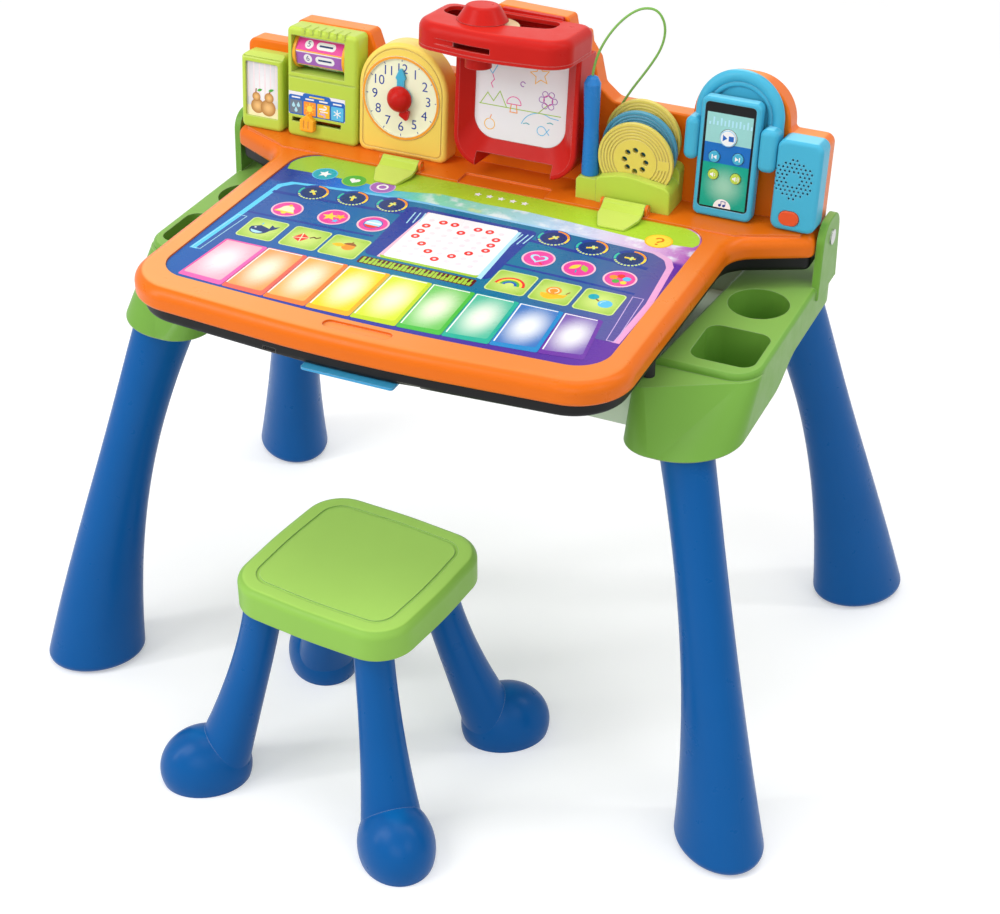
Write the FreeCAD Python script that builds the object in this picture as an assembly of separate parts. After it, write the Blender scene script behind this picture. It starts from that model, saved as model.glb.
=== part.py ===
import FreeCAD, Part
import math
import os
from collections import namedtuple

from FreeCAD import Matrix, Vector

# A child's electronic learning desk with its stool. Lengths are millimetres.
# +X is the sitting child's right, +Y points away from the child and +Z is up.
# Sizes are drawn from the rear ends of the piano keys, in the middle of the desk,
# and every piece is then moved so that desk and stool stand centred on the origin.
DRAWING_TO_ORIGIN_Y = -77.8

# Heights above the floor
FLOOR_Z = 0.0
BASE_TOP_Z = 410.0
RIM_Z = 460.0
LEDGE_Z = 461.0

# Fits
PIN_CLEARANCE = 0.05
RUNNING_GAP = 0.3

# Lid: orange moulding over a black pan
LID_HEIGHT = 21.0
PAN_HEIGHT = 14.0
LID_HALF_WIDTH = 225.0
LID_FRONT_Y = -120.0
LID_FRONT_BOW = 17.0
LID_REAR_Y = 252.0
LID_CORNER_RADIUS = 50.0
WING_HALF_WIDTH = 288.0
WING_FRONT_Y = 176.0
WING_TIP_Y = 208.0
WING_HOLLOW_RADIUS = 30.0
LID_WALL = 3.0
LID_TOP_ROUND = 10.5
LID_BOTTOM_ROUND = 4.0
SOCKET_X = (-80.0, -68.0)
PAN_INSET = 6.0
PAN_REAR_INSET = 3.0
PAN_ROUND = 5.0
LEDGE_FRONT_Y = 182.0
LEDGE_STEP_X = (-41.0, 45.0)
LEDGE_STEP_REAR_Y = 201.0
LEDGE_STEP_DEPTH = 1.8

# Touch page
PAGE_HALF_WIDTH = 202.0
PAGE_FRONT_Y = -87.0
PAGE_FRONT_BOW = 11.0
PAGE_REAR_Y = 184.0
PAGE_THICKNESS = 2.2
PAGE_SINK = 1.4
PAGE_FRONT_RADIUS = 30.0
PAGE_REAR_RADIUS = 28.0
SCOOP_X = (-29.0, 33.0)
SCOOP_LENGTH = 12.0
SCOOP_DEPTH = 2.2

# Hinge of the lid
HINGE_Y = 238.0
HINGE_Z = 449.0
HINGE_PIN_RADIUS = 4.0
HINGE_PIN_DEPTH = 12.0
UPRIGHT_GAP = 1.0
UPRIGHT_THICKNESS = 7.0
UPRIGHT_DEPTH = 46.0
UPRIGHT_TOP_Z = 468.0

# Base caddies
BASE_HALF_WIDTH = WING_HALF_WIDTH + 6.0
BASE_FRONT_Y = -34.0
BASE_REAR_Y = 292.0
BASE_FRONT_RADIUS = 56.0
BASE_EDGE_ROUND = 4.0
BASE_WALL = 3.0
SKIRT_FRONT_Z = 362.0
SKIRT_REAR_Z = 377.0
SKIRT_RISE_START_Y = 112.0
SKIRT_RISE_END_Y = 150.0
BLOCK_INNER_X = BASE_HALF_WIDTH - 94.0
BLOCK_INNER_RADIUS = 30.0
STEP_Y = 40.0
STEP_DEPTH = 6.0
STEP_RADIUS = 27.0
STEP_Z = BASE_TOP_Z - STEP_DEPTH

# Front of a caddy: from a slanted edge on its top a face slopes forward and down to the skirt
SLOPE_EDGE_Y = -4.3
SLOPE_EDGE_SLANT = 0.555
SLOPE_INNER_RADIUS = 8.0
SLOPE_OUTER_RADIUS = 24.0
SLOPE_REAR_Y = 98.0

# Bins of a caddy
ROUND_BIN_X = BASE_HALF_WIDTH - 38.0
ROUND_BIN_Y = 164.0
ROUND_BIN_RADIUS = 27.0
SQUARE_BIN_X = BASE_HALF_WIDTH - 36.5
SQUARE_BIN_Y = 85.0
SQUARE_BIN_WIDTH = 57.0
SQUARE_BIN_LENGTH = 60.0
SQUARE_BIN_CORNER = 12.0
BIN_WALL = 2.5
BIN_DEPTH = {"round": 30.0, "square": 42.0}

# Rubber pads that the closed lid rests on
PAD_INSET = 8.0
PAD_Y = 22.0
PAD_RADIUS = 5.5

# Storage tray between the caddies
TRAY_FRONT_Y = 20.0
TRAY_REAR_Y = 273.0
TRAY_FLOOR_Z = 352.0
TRAY_TOP_Z = 402.0
TRAY_WALL = 2.6
TRAY_FRONT_HALF = BASE_HALF_WIDTH - 89.0
TRAY_REAR_HALF = BASE_HALF_WIDTH - 72.0
TRAY_SIDE_BEND_Y = 215.0
BASE_REAR_RADIUS = (BASE_HALF_WIDTH - TRAY_REAR_HALF) * 0.625

# Legs: oval tubes that splay along the diagonals and bow outward
LEG_TOP_Z = 350.0
LEG_TENON = 9.0
LEG_BOTTOM_ROUND = 9.0
Leg = namedtuple("Leg", "foot top bow join")
FRONT_LEG = Leg(foot=(BASE_HALF_WIDTH + 31.4, -66.0), top=(BASE_HALF_WIDTH - 42.0, 1.5), bow=11.0,
                join=SKIRT_FRONT_Z)
REAR_LEG = Leg(foot=(BASE_HALF_WIDTH + 39.2, 348.1), top=(BASE_HALF_WIDTH - 33.3, 271.8), bow=9.2,
               join=SKIRT_REAR_Z)
LEG_FOOT_AXES = (48.3, 38.3)
LEG_SHIN_AXES = (36.5, 27.8)
LEG_KNEE_AXES = (27.2, 22.0)
LEG_TOP_AXES = (30.5, 21.8)
LEG_TENON_AXES = (18.0, 13.0)
LEG_SHIN_Z = 100.0
LEG_KNEE_Z = 220.0

# Back wall, drawn upright and then leaned back. In its own frame x runs to the right,
# d runs to the back from the modules' front planes and h runs up from the ledge.
LEAN = math.atan(0.105)
MODULE_Y = 206.0
MODULE_DEPTH = 22.0
PANEL_THICKNESS = 20.0
PANEL_WALL = 3.0
PANEL_HALF_WIDTH = WING_HALF_WIDTH - 2.0
PANEL_H = 81.5
PANEL_ROUND = 2.2
CASE_ROUND = 4.0
CASE_WALL = 3.0

# Photo frame
PHOTO_X = (-282.0, -238.0)
PHOTO_TOP = 72.4
PHOTO_WINDOW_X = (-277.0, -242.0)
PHOTO_WINDOW_H = (12.0, 65.4)
PHOTO_CARD_THICKNESS = 1.0
PHOTO_CARD_MARGIN = 2.5

# Calendar
CALENDAR_X = (-232.0, -158.0)
CALENDAR_TOP = 105.6
DRUM_WINDOW_X = (-227.0, -171.0)
DRUM_H = 80.4
DRUM_RADIUS = 16.5
DRUM_DAYS = 7
DRUM_FLANGE_RADIUS = 17.0
DRUM_FLANGE = 3.0
DRUM_AXLE_RADIUS = 2.0
DRUM_AXLE_REACH = 3.5
WEATHER_LABEL_X = (-230.0, -170.0)
WEATHER_LABEL_H = (22.0, 44.2)
LABEL_THICKNESS = 0.8
CASE_GROOVE_H = 57.8
SLIDER_X = -208.0
SLIDER_H = 17.0
SLIDER_SLOT_X = (-226.5, -174.5)
SLIDER_SLOT_HEIGHT = 4.4
SLIDER_KNOB_WIDTH = 15.0
SLIDER_KNOB_HEIGHT = 17.0
RIB_COUNT = 6

# Clock
CLOCK_X = (-156.0, -65.0)
CLOCK_TOP = 107.6
DIAL_X = -112.0
DIAL_H = 56.3
DIAL_RADIUS = 39.5
DIAL_RING = 3.0
RIM_GROOVE_INSET = 4.6
RIM_GROOVE = 0.9
DIAL_DEPTH = 2.4
SPINDLE_RADIUS = 3.0
MINUTE_HAND_LENGTH = 31.0
HOUR_HAND_LENGTH = 22.0
HUB_RADIUS = 12.0
HUB_HEIGHT = 9.0
HAND_THICKNESS = 2.4

# Projector
PROJECTOR_X = (-52.0, 68.0)
PROJECTOR_FRONT_D = -13.0
PROJECTOR_H = (10.0, 124.0)
PROJECTOR_WALL = 4.5
PROJECTOR_CORNER = 28.0
PICTURE_X = (-37.0, 52.0)
PICTURE_H = 35.0
PICTURE_THICKNESS = 1.2
PICTURE_CORNER = 20.0
SILL_H = 23.0
SILL_X = (-30.0, 45.0)
HEAD_X = (-78.0, 68.0)
HEAD_FRONT_D = -60.0
HEAD_HEIGHT = 24.0
HEAD_CORNER = 26.0
HEAD_ROUND = 8.0
HEAD_WALL = 3.0
HEAD_COVER_THICKNESS = 3.0
KNOB_X = -24.0
KNOB_D = -20.0
KNOB_RADIUS = 19.5
KNOB_SKIRT_RADIUS = 23.0
KNOB_CROWN_RADIUS = 14.5
KNOB_HEIGHT = 13.5
PICTURE_DISC_RADIUS = 33.0
LENS_X = -22.0
LENS_D = -30.0
LENS_RADIUS = 12.0
LENS_LENGTH = 15.0

# Pen and discs
HOLDER_X = (89.0, 159.0)
HOLDER_FRONT_Y = 194.0
HOLDER_SHOULDER_Y = 218.5
HOLDER_FRONT_Z = 491.0
HOLDER_SHOULDER_Z = 497.0
CUP_X = (70.0, 89.0)
CUP_FRONT_Y = 195.0
CUP_TOP_Z = 482.0
DISC_RADIUS = 35.0
DISC_THICKNESS = 4.0
DISC_SLOT_GAP = 0.4
DISC_X = 122.5
DISC_FRONT_Y = 204.5
DISC_PITCH_Y = 8.9
DISC_FRONT_Z = 503.0
DISC_STEP_Z = 7.5
DISC_HOLES = 8
DISC_HOLE_CIRCLE = 10.0
DISC_HOLE_RADIUS = 2.6
DISC_GROOVE_RADII = (32.6, 29.8, 27.0, 24.2, 21.4)
DISC_GROOVE = 1.1
DISC_MARK = (5.5, 4.5)
PEN_X = 79.5
PEN_Y = 205.0
PEN_RADIUS = 7.5
PEN_GRIP_RADIUS = 5.4
PEN_TIP_Z = 466.0
PEN_TOP_Z = 575.0

# Music player, headphones and speaker
PLAYER_X = (176.0, 230.0)
PLAYER_TOP = 108.6
PLAYER_DEPTH = 11.0
SCREEN_X = (180.0, 226.0)
SCREEN_H = (9.0, 104.6)
SCREEN_THICKNESS = 1.6
BUTTON_TRAVEL = 1.0
BUTTON_PROUD = 1.6
BUTTON_LENGTH = 6.0
HEADPHONE_X = 206.5
HEADPHONE_TOP = 131.7
HEADPHONE_RADIUS = 40.0
CUP_H = (49.0, 88.0)
CUP_FRONT_D = -1.0
CUP_OVERHANG = 4.0
BAND_RADIUS = 5.5
BAND_PAD_RADIUS = 3.2
SPEAKER_X = (247.0, 287.6)
SPEAKER_TOP = 82.5
GRILLE_X = 264.0
GRILLE_H = 48.3
GRILLE_HOLE_RADIUS = 0.95
GRILLE_PITCH = 4.0
GRILLE_RING = (5.5, 18.0)
PILL_H = 13.0
PILL_WIDTH = 18.0
PILL_HEIGHT = 13.0

# Page clips
CLIP_SPANS = {"clip_left": (-119.0, -82.0), "clip_right": (101.0, 140.0)}
CLIP_HINGE_Y = 187.0
CLIP_HINGE_Z = 466.5
CLIP_BARREL_RADIUS = 4.0
CLIP_PIN_RADIUS = 1.6
CLIP_FRONT_Y = 153.0
CLIP_THICKNESS = 2.4
CLIP_EAR = 2.5

# Stool
STOOL_X = -20.0
STOOL_Y = -90.0
STOOL_YAW = -5.8
SEAT_OFFSET = (7.0, 4.0)
SEAT_TOP_Z = 219.0
SEAT_HALF = (85.6, 82.3)
SEAT_CORNER = 36.0
SEAT_SIDE_BULGE = 3.0
SEAT_HEIGHT = 28.0
SEAT_ROUND = 7.0
SEAT_WALL = 3.5
STOOL_FOOT = (103.0, 95.0)
STOOL_LEG_TOP = (56.0, 50.0)
STOOL_LEG_RADIUS = 17.3
STOOL_LEG_FLARE = 11.7
STOOL_TENON_RADIUS = 15.5
STOOL_FOOT_LAG = 11.0
LEG_SOCKET_INSET = 6.0
BULB_AXES = (42.0, 34.0)
BULB_Z = 12.0
BULB_HEIGHT = 40.0

# Cord from the pen to its gland, by hand from the photograph
CORD_RADIUS = 1.1
GLAND_X = 80.0
GLAND_Y = 226.6
GLAND_TOP_Z = 488.0
GLAND_RADIUS = 2.8
CORD_ROUTE = [
    (PEN_X, PEN_Y, PEN_TOP_Z),
    (PEN_X + 0.6, 205.2, 583.0),
    (85.0, 207.0, 600.0),
    (94.5, 210.5, 617.5),
    (107.0, 214.5, 631.5),
    (119.5, 218.0, 638.5),
    (131.5, 221.8, 636.5),
    (137.8, 225.0, 622.0),
    (134.5, 227.3, 602.0),
    (122.5, 228.2, 580.5),
    (107.0, 228.6, 557.5),
    (93.5, 228.4, 533.0),
    (83.5, 227.4, 509.0),
    (GLAND_X, GLAND_Y, 496.0),
    (GLAND_X, GLAND_Y, GLAND_TOP_Z),
]

UP = Vector(0, 0, 1)
BACK = Vector(0, 1, 0)
RIGHT = Vector(1, 0, 0)
FAR = 900.0


def box(x, y, z):
    """Block between the two limits given for each axis."""
    corner = Vector(min(x), min(y), min(z))
    return Part.makeBox(abs(x[1] - x[0]), abs(y[1] - y[0]), abs(z[1] - z[0]), corner)


def rod(start, direction, radius, length):
    return Part.makeCylinder(radius, length, Vector(*start), direction)


def rounded_wire(corners, place):
    """Closed outline of straight runs and tangent arcs, from corners (u, v, radius)."""
    arcs = []
    for index, (u, v, radius) in enumerate(corners):
        here = Vector(u, v, 0)
        before = Vector(*corners[index - 1][:2], 0) - here
        after = Vector(*corners[(index + 1) % len(corners)][:2], 0) - here
        half_angle = before.getAngle(after) / 2
        before.normalize()
        after.normalize()
        reach = radius / math.tan(half_angle)
        inward = (before + after).normalize()
        middle = here + inward * (radius / math.sin(half_angle) - radius)
        arcs.append((here + before * reach, middle, here + after * reach))
    edges = []
    for index, (first, middle, last) in enumerate(arcs):
        previous = arcs[index - 1][2]
        if (first - previous).Length > 1e-4:
            edges.append(Part.LineSegment(place(previous), place(first)).toShape())
        if (last - first).Length > 1e-4:
            edges.append(Part.Arc(place(first), place(middle), place(last)).toShape())
    return Part.Wire(edges)


def plate(corners, low, high):
    """Flat piece with an outline in X and Y, between two heights."""
    wire = rounded_wire(corners, lambda p: Vector(p.x, p.y, low))
    return Part.Face(wire).extrude(UP * (high - low))


def panel(corners, front, rear):
    """Upright piece with an outline in X and Z, between two depths."""
    wire = rounded_wire(corners, lambda p: Vector(p.x, front, p.y))
    return Part.Face(wire).extrude(BACK * (rear - front))


def profile(corners, left, right):
    """Piece with an outline in Y and Z, between two x values."""
    wire = rounded_wire(corners, lambda p: Vector(left, p.x, p.y))
    return Part.Face(wire).extrude(RIGHT * (right - left))


def rectangle(u, v, radius):
    """Corners of a rectangle; radius is one value or four, from low u and low v round."""
    radii = radius if isinstance(radius, tuple) else (radius,) * 4
    points = [(u[0], v[0]), (u[1], v[0]), (u[1], v[1]), (u[0], v[1])]
    return [(*point, r) for point, r in zip(points, radii)]


def edges_in_plane(shape, axis, value):
    """Edges whose ends and middle all lie at the value on the axis (0, 1 or 2)."""
    found = []
    for edge in shape.Edges:
        middle = edge.valueAt((edge.FirstParameter + edge.LastParameter) / 2)
        points = [vertex.Point for vertex in edge.Vertexes] + [middle]
        if all(abs(point[axis] - value) < 1e-3 for point in points):
            found.append(edge)
    return found


def round_edges(shape, axis, value, radius):
    return shape.makeFillet(radius, edges_in_plane(shape, axis, value))


def mirrored(shape):
    """The same piece for the other side of the desk."""
    return shape.mirror(Vector(0, 0, 0), RIGHT)


def lean(shape):
    """Moves a piece drawn in the back wall's frame (x, d, h) to its place on the ledge."""
    placed = shape.copy()
    placed.rotate(Vector(0, 0, 0), RIGHT, -math.degrees(LEAN))
    placed.translate(Vector(0, MODULE_Y, LEDGE_Z))
    return placed


def above_ledge(shape):
    """Cuts a leaning piece off where it stands on the ledge."""
    return shape.cut(box((-FAR, FAR), (0, FAR), (0, LEDGE_Z)))


def before_panel(shape):
    """Cuts an upright piece off where it meets the leaning panel."""
    wall = lean(box((-FAR, FAR), (MODULE_DEPTH, FAR), (-FAR, FAR)))
    return shape.cut(wall)


def save(name, shape):
    placed = shape.copy()
    placed.translate(Vector(0, DRAWING_TO_ORIGIN_Y, 0))
    solids = placed.Solids
    placed = solids[0] if len(solids) == 1 else Part.makeCompound(solids)
    if not placed.isValid():
        print("not valid:", name)
    bounds = placed.BoundBox
    print(f"{name}: {len(solids)} solid, {len(placed.Faces)} faces, volume {placed.Volume:.0f}, "
          f"x {bounds.XMin:.1f} {bounds.XMax:.1f} y {bounds.YMin:.1f} {bounds.YMax:.1f} "
          f"z {bounds.ZMin:.1f} {bounds.ZMax:.1f}")
    placed.exportStep(f"parts/{name}.step")


# Lid

def lid_outline(inset, rear_inset):
    """Outline of the lid with its two rear wings, drawn in by the insets."""
    side = LID_HALF_WIDTH - inset
    front = LID_FRONT_Y + inset
    corner_front = front + LID_FRONT_BOW
    tip = WING_HALF_WIDTH - rear_inset
    rear = LID_REAR_Y - rear_inset
    right = [
        (side, corner_front, LID_CORNER_RADIUS - inset * 0.5),
        (side, WING_FRONT_Y + rear_inset, WING_HOLLOW_RADIUS),
        (tip, WING_TIP_Y + rear_inset, 8.0),
        (tip, rear, 6.0),
    ]
    left = [(-x, y, radius) for x, y, radius in reversed(right)]
    return [(0.0, front, 1100.0)] + right + left


def page_outline(grow):
    side = PAGE_HALF_WIDTH + grow
    front = PAGE_FRONT_Y - grow
    return [
        (0.0, front, 1400.0),
        (side, front + PAGE_FRONT_BOW, PAGE_FRONT_RADIUS + grow),
        (side, PAGE_REAR_Y + grow, PAGE_REAR_RADIUS + grow),
        (-side, PAGE_REAR_Y + grow, PAGE_REAR_RADIUS + grow),
        (-side, front + PAGE_FRONT_BOW, PAGE_FRONT_RADIUS + grow),
    ]


PAGE_Z = RIM_Z - PAGE_SINK
PAGE_SEAT_Z = PAGE_Z - PAGE_THICKNESS
LID_BOTTOM_Z = RIM_Z - LID_HEIGHT
PAN_BOTTOM_Z = LID_BOTTOM_Z - PAN_HEIGHT
LID_ROOF_Z = PAGE_SEAT_Z - LID_WALL
BOARD_THICKNESS = 1.6
BOARD_Z = LID_ROOF_Z - 5.0 - BOARD_THICKNESS
BOARD_X = (-140.0, 140.0)
BOARD_Y = (-60.0, 10.0)


def make_lid_shell():
    shell = plate(lid_outline(0.0, 0.0), LID_BOTTOM_Z, RIM_Z)
    shell = round_edges(shell, 2, RIM_Z, LID_TOP_ROUND)
    shell = round_edges(shell, 2, LID_BOTTOM_Z, LID_BOTTOM_ROUND)
    shell = shell.cut(plate(page_outline(RUNNING_GAP), PAGE_SEAT_Z, RIM_Z + 1))
    ledge_x = (-WING_HALF_WIDTH + 12, WING_HALF_WIDTH - 12)
    ledge = plate(rectangle(ledge_x, (LEDGE_FRONT_Y, LID_REAR_Y - 3), 0.0), PAGE_SEAT_Z, LEDGE_Z)
    ledge = ledge.common(plate(lid_outline(LID_TOP_ROUND, 3.0), LID_BOTTOM_Z, LEDGE_Z))
    shell = shell.fuse(ledge).cut(plate(page_outline(RUNNING_GAP), PAGE_SEAT_Z, PAGE_Z))
    hollow_side = LID_HALF_WIDTH - LID_TOP_ROUND - 2
    hollow = plate(rectangle((-hollow_side, hollow_side), (LID_FRONT_Y + 28, LID_REAR_Y - 6), 30.0),
                   LID_BOTTOM_Z - 1, LID_ROOF_Z)
    shell = shell.cut(hollow)
    step = plate(rectangle(LEDGE_STEP_X, (LEDGE_FRONT_Y - 9, LEDGE_STEP_REAR_Y), 3.0),
                 LEDGE_Z - LEDGE_STEP_DEPTH, LEDGE_Z + 1)
    shell = shell.cut(step)
    scoop_y = (PAGE_FRONT_Y - 3 - SCOOP_LENGTH, PAGE_FRONT_Y - 3)
    scoop = rectangle(SCOOP_X, scoop_y, SCOOP_LENGTH / 2 - 0.1)
    shell = shell.cut(plate(scoop, RIM_Z - SCOOP_DEPTH, RIM_Z + 1))
    for x in (BOARD_X[0] + 12, 0.0, BOARD_X[1] - 12):
        for y in (BOARD_Y[0] + 8, BOARD_Y[1] - 8):
            boss = rod((x, y, BOARD_Z + BOARD_THICKNESS), UP, 3.0, LID_ROOF_Z - BOARD_Z - BOARD_THICKNESS)
            shell = shell.fuse(boss)
    for x in CLIP_SPANS.values():
        shell = shell.fuse(clip_ears(x))
    bore = HINGE_PIN_RADIUS + PIN_CLEARANCE
    for side in (-1, 1):
        start = (side * (WING_HALF_WIDTH - HINGE_PIN_DEPTH), HINGE_Y, HINGE_Z)
        shell = shell.cut(rod(start, RIGHT * side, bore, HINGE_PIN_DEPTH + 1))
    return shell


def clip_ears(span):
    """Two ears on the ledge that hold the clip's pin stubs."""
    ears = []
    half = CLIP_BARREL_RADIUS
    outline = [
        (CLIP_HINGE_Y - half, LEDGE_Z - 0.5, 0.0),
        (CLIP_HINGE_Y + half, LEDGE_Z - 0.5, 0.0),
        (CLIP_HINGE_Y + half, CLIP_HINGE_Z + half, 3.6),
        (CLIP_HINGE_Y - half, CLIP_HINGE_Z + half, 3.6),
    ]
    for low in (span[0] - RUNNING_GAP - CLIP_EAR, span[1] + RUNNING_GAP):
        ear = profile(outline, low, low + CLIP_EAR)
        hole = rod((low - 1, CLIP_HINGE_Y, CLIP_HINGE_Z), RIGHT, CLIP_PIN_RADIUS + PIN_CLEARANCE,
                   CLIP_EAR + 2)
        ears.append(ear.cut(hole))
    return Part.makeCompound(ears)


def make_lid_pan():
    pan = plate(lid_outline(PAN_INSET, PAN_REAR_INSET), PAN_BOTTOM_Z, LID_BOTTOM_Z)
    pan = round_edges(pan, 2, PAN_BOTTOM_Z, PAN_ROUND)
    hollow_side = LID_HALF_WIDTH - PAN_INSET - LID_WALL - 4
    hollow = plate(rectangle((-hollow_side, hollow_side), (LID_FRONT_Y + 36, LID_REAR_Y - 12), 26.0),
                   PAN_BOTTOM_Z + LID_WALL + CHALK_SINK, LID_BOTTOM_Z + 1)
    pan = pan.cut(hollow)
    pan = pan.cut(plate(rectangle(CHALK_X, CHALK_Y, 12.0), PAN_BOTTOM_Z - 1, PAN_BOTTOM_Z + CHALK_SINK))
    pan = pan.cut(plate(rectangle(DOOR_X, DOOR_Y, 3.0), PAN_BOTTOM_Z - 1, LID_BOTTOM_Z + 1))
    recess = box(SOCKET_X, (LID_FRONT_Y, LID_FRONT_Y + PAN_INSET + 8), (PAN_BOTTOM_Z + 2, PAN_BOTTOM_Z + 7))
    return pan.cut(recess)


CHALK_X = (-165.0, 165.0)
CHALK_Y = (-75.0, 112.0)
CHALK_SINK = 1.5
DOOR_X = (-52.0, 52.0)
DOOR_Y = (124.0, 184.0)


def make_chalk_board():
    return plate(rectangle(CHALK_X, CHALK_Y, 12.0), PAN_BOTTOM_Z, PAN_BOTTOM_Z + CHALK_SINK)


def make_battery_box():
    """Battery box with its door flush in the pan's underside."""
    outer = plate(rectangle(DOOR_X, DOOR_Y, 3.0), PAN_BOTTOM_Z + 0.4, LID_ROOF_Z)
    hollow = plate(rectangle((DOOR_X[0] + 2, DOOR_X[1] - 2), (DOOR_Y[0] + 2, DOOR_Y[1] - 2), 1.5),
                   PAN_BOTTOM_Z + 2.8, LID_ROOF_Z + 1)
    return outer.cut(hollow)


def make_circuit_board():
    return plate(rectangle(BOARD_X, BOARD_Y, 4.0), BOARD_Z, BOARD_Z + BOARD_THICKNESS)


def make_front_grip():
    """Light strip under the middle of the pan's front edge."""
    front = LID_FRONT_Y + PAN_INSET - 1.5
    strip = plate(rectangle((-42.0, 42.0), (front, front + 16), 3.0), PAN_BOTTOM_Z - 2.2, PAN_BOTTOM_Z)
    return strip


def make_clip(span):
    """Sprung flap that holds the page's rear edge down."""
    barrel = rod((span[0], CLIP_HINGE_Y, CLIP_HINGE_Z), RIGHT, CLIP_BARREL_RADIUS, span[1] - span[0])
    stub = CLIP_EAR - 0.5 + RUNNING_GAP
    pin = rod((span[0] - stub, CLIP_HINGE_Y, CLIP_HINGE_Z), RIGHT, CLIP_PIN_RADIUS,
              span[1] - span[0] + 2 * stub)
    tip_z = PAGE_Z + RUNNING_GAP
    flap = profile([
        (CLIP_FRONT_Y, tip_z, 0.0),
        (CLIP_FRONT_Y + 4, tip_z, 1.0),
        (LEDGE_FRONT_Y - 4, LEDGE_Z + 1.0, 2.0),
        (CLIP_HINGE_Y, CLIP_HINGE_Z - 1.6, 0.0),
        (CLIP_HINGE_Y, CLIP_HINGE_Z + CLIP_BARREL_RADIUS, 0.0),
        (LEDGE_FRONT_Y - 5, LEDGE_Z + 1.0 + CLIP_THICKNESS, 3.0),
        (CLIP_FRONT_Y, tip_z + CLIP_THICKNESS - 0.6, 1.0),
    ], span[0], span[1])
    taper = plate([
        (span[0] + 7, CLIP_FRONT_Y, 3.0),
        (span[1] - 7, CLIP_FRONT_Y, 3.0),
        (span[1], CLIP_FRONT_Y + 18, 8.0),
        (span[1], CLIP_HINGE_Y + 10, 0.0),
        (span[0], CLIP_HINGE_Y + 10, 0.0),
        (span[0], CLIP_FRONT_Y + 18, 8.0),
    ], tip_z - 5, CLIP_HINGE_Z + 10)
    return barrel.fuse([pin, flap.common(taper)])


# Base

def inner_side(y, inset):
    """Where a caddy's inner side stands at y, beside the tray's slanted end."""
    start = TRAY_FRONT_Y - inset
    slant = (TRAY_REAR_HALF - TRAY_FRONT_HALF) / (TRAY_SIDE_BEND_Y - start)
    return TRAY_FRONT_HALF + inset + (y - start) * slant


def rear_outline(inset):
    """Outline of the part of a caddy behind its sloping front."""
    outer = BASE_HALF_WIDTH - inset
    inner = TRAY_REAR_HALF + inset
    return [
        (inner_side(SLOPE_REAR_Y, inset), SLOPE_REAR_Y, 0.0),
        (outer, SLOPE_REAR_Y, 0.0),
        (outer, BASE_REAR_Y - inset, BASE_REAR_RADIUS - inset),
        (inner, BASE_REAR_Y - inset, 6.0 - inset),
        (inner, TRAY_SIDE_BEND_Y, 20.0),
    ]


def slope_outline(on_top, inset):
    """Outline of a caddy's front part, along its skirt or along the slanted edge on its top."""
    inner = BLOCK_INNER_X + inset
    outer = BASE_HALF_WIDTH - inset
    front = [(inner, BASE_FRONT_Y + inset, BLOCK_INNER_RADIUS - inset),
             (outer, BASE_FRONT_Y + inset, BASE_FRONT_RADIUS - inset)]
    if on_top:
        edge = SLOPE_EDGE_Y + inset * math.hypot(1, SLOPE_EDGE_SLANT)
        rise = [(x - BLOCK_INNER_X) * SLOPE_EDGE_SLANT for x in (inner, outer)]
        front = [(inner, edge + rise[0], SLOPE_INNER_RADIUS - inset),
                 (outer, edge + rise[1], SLOPE_OUTER_RADIUS - inset)]
    return front + [
        (outer, SLOPE_REAR_Y, 0.0),
        (inner_side(SLOPE_REAR_Y, inset), SLOPE_REAR_Y, 0.0),
        (TRAY_FRONT_HALF + inset, TRAY_FRONT_Y - inset, 0.0),
        (inner, TRAY_FRONT_Y - inset, 0.0),
    ]


def slope_block(inset):
    """Front part of a caddy up to the step, ruled from the skirt to the slanted edge."""
    levels = ((False, SKIRT_FRONT_Z), (True, STEP_Z - inset))
    wires = [rounded_wire(slope_outline(on_top, inset), lambda p, z=z: Vector(p.x, p.y, z))
             for on_top, z in levels]
    return Part.makeLoft(wires, True, True)


def step_block():
    """Raised top behind the step, over the sloping front part."""
    return plate([
        (inner_side(STEP_Y, 0.0), STEP_Y, 0.0),
        (BASE_HALF_WIDTH, STEP_Y, STEP_RADIUS),
        (BASE_HALF_WIDTH, SLOPE_REAR_Y, 0.0),
        (inner_side(SLOPE_REAR_Y, 0.0), SLOPE_REAR_Y, 0.0),
    ], STEP_Z, BASE_TOP_Z)


def skirt_cut():
    """Space under the skirt, whose lower edge rises towards the rear legs."""
    return profile([
        (-FAR, 0.0, 0.0),
        (FAR, 0.0, 0.0),
        (FAR, SKIRT_REAR_Z, 0.0),
        (SKIRT_RISE_END_Y, SKIRT_REAR_Z, 60.0),
        (SKIRT_RISE_START_Y, SKIRT_FRONT_Z, 60.0),
        (-FAR, SKIRT_FRONT_Z, 0.0),
    ], -FAR, FAR)


def bin_shape(kind, grow, low):
    high = BASE_TOP_Z + (1 if grow == 0 else -1)
    if kind == "round":
        return rod((ROUND_BIN_X, ROUND_BIN_Y, low), UP, ROUND_BIN_RADIUS + grow, high - low)
    half_width = SQUARE_BIN_WIDTH / 2 + grow
    half_length = SQUARE_BIN_LENGTH / 2 + grow
    return plate(rectangle((SQUARE_BIN_X - half_width, SQUARE_BIN_X + half_width),
                           (SQUARE_BIN_Y - half_length, SQUARE_BIN_Y + half_length),
                           SQUARE_BIN_CORNER + grow), low, high)


def leg_turn(leg):
    return math.degrees(math.atan2(leg.foot[1] - leg.top[1], leg.foot[0] - leg.top[0]))


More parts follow.
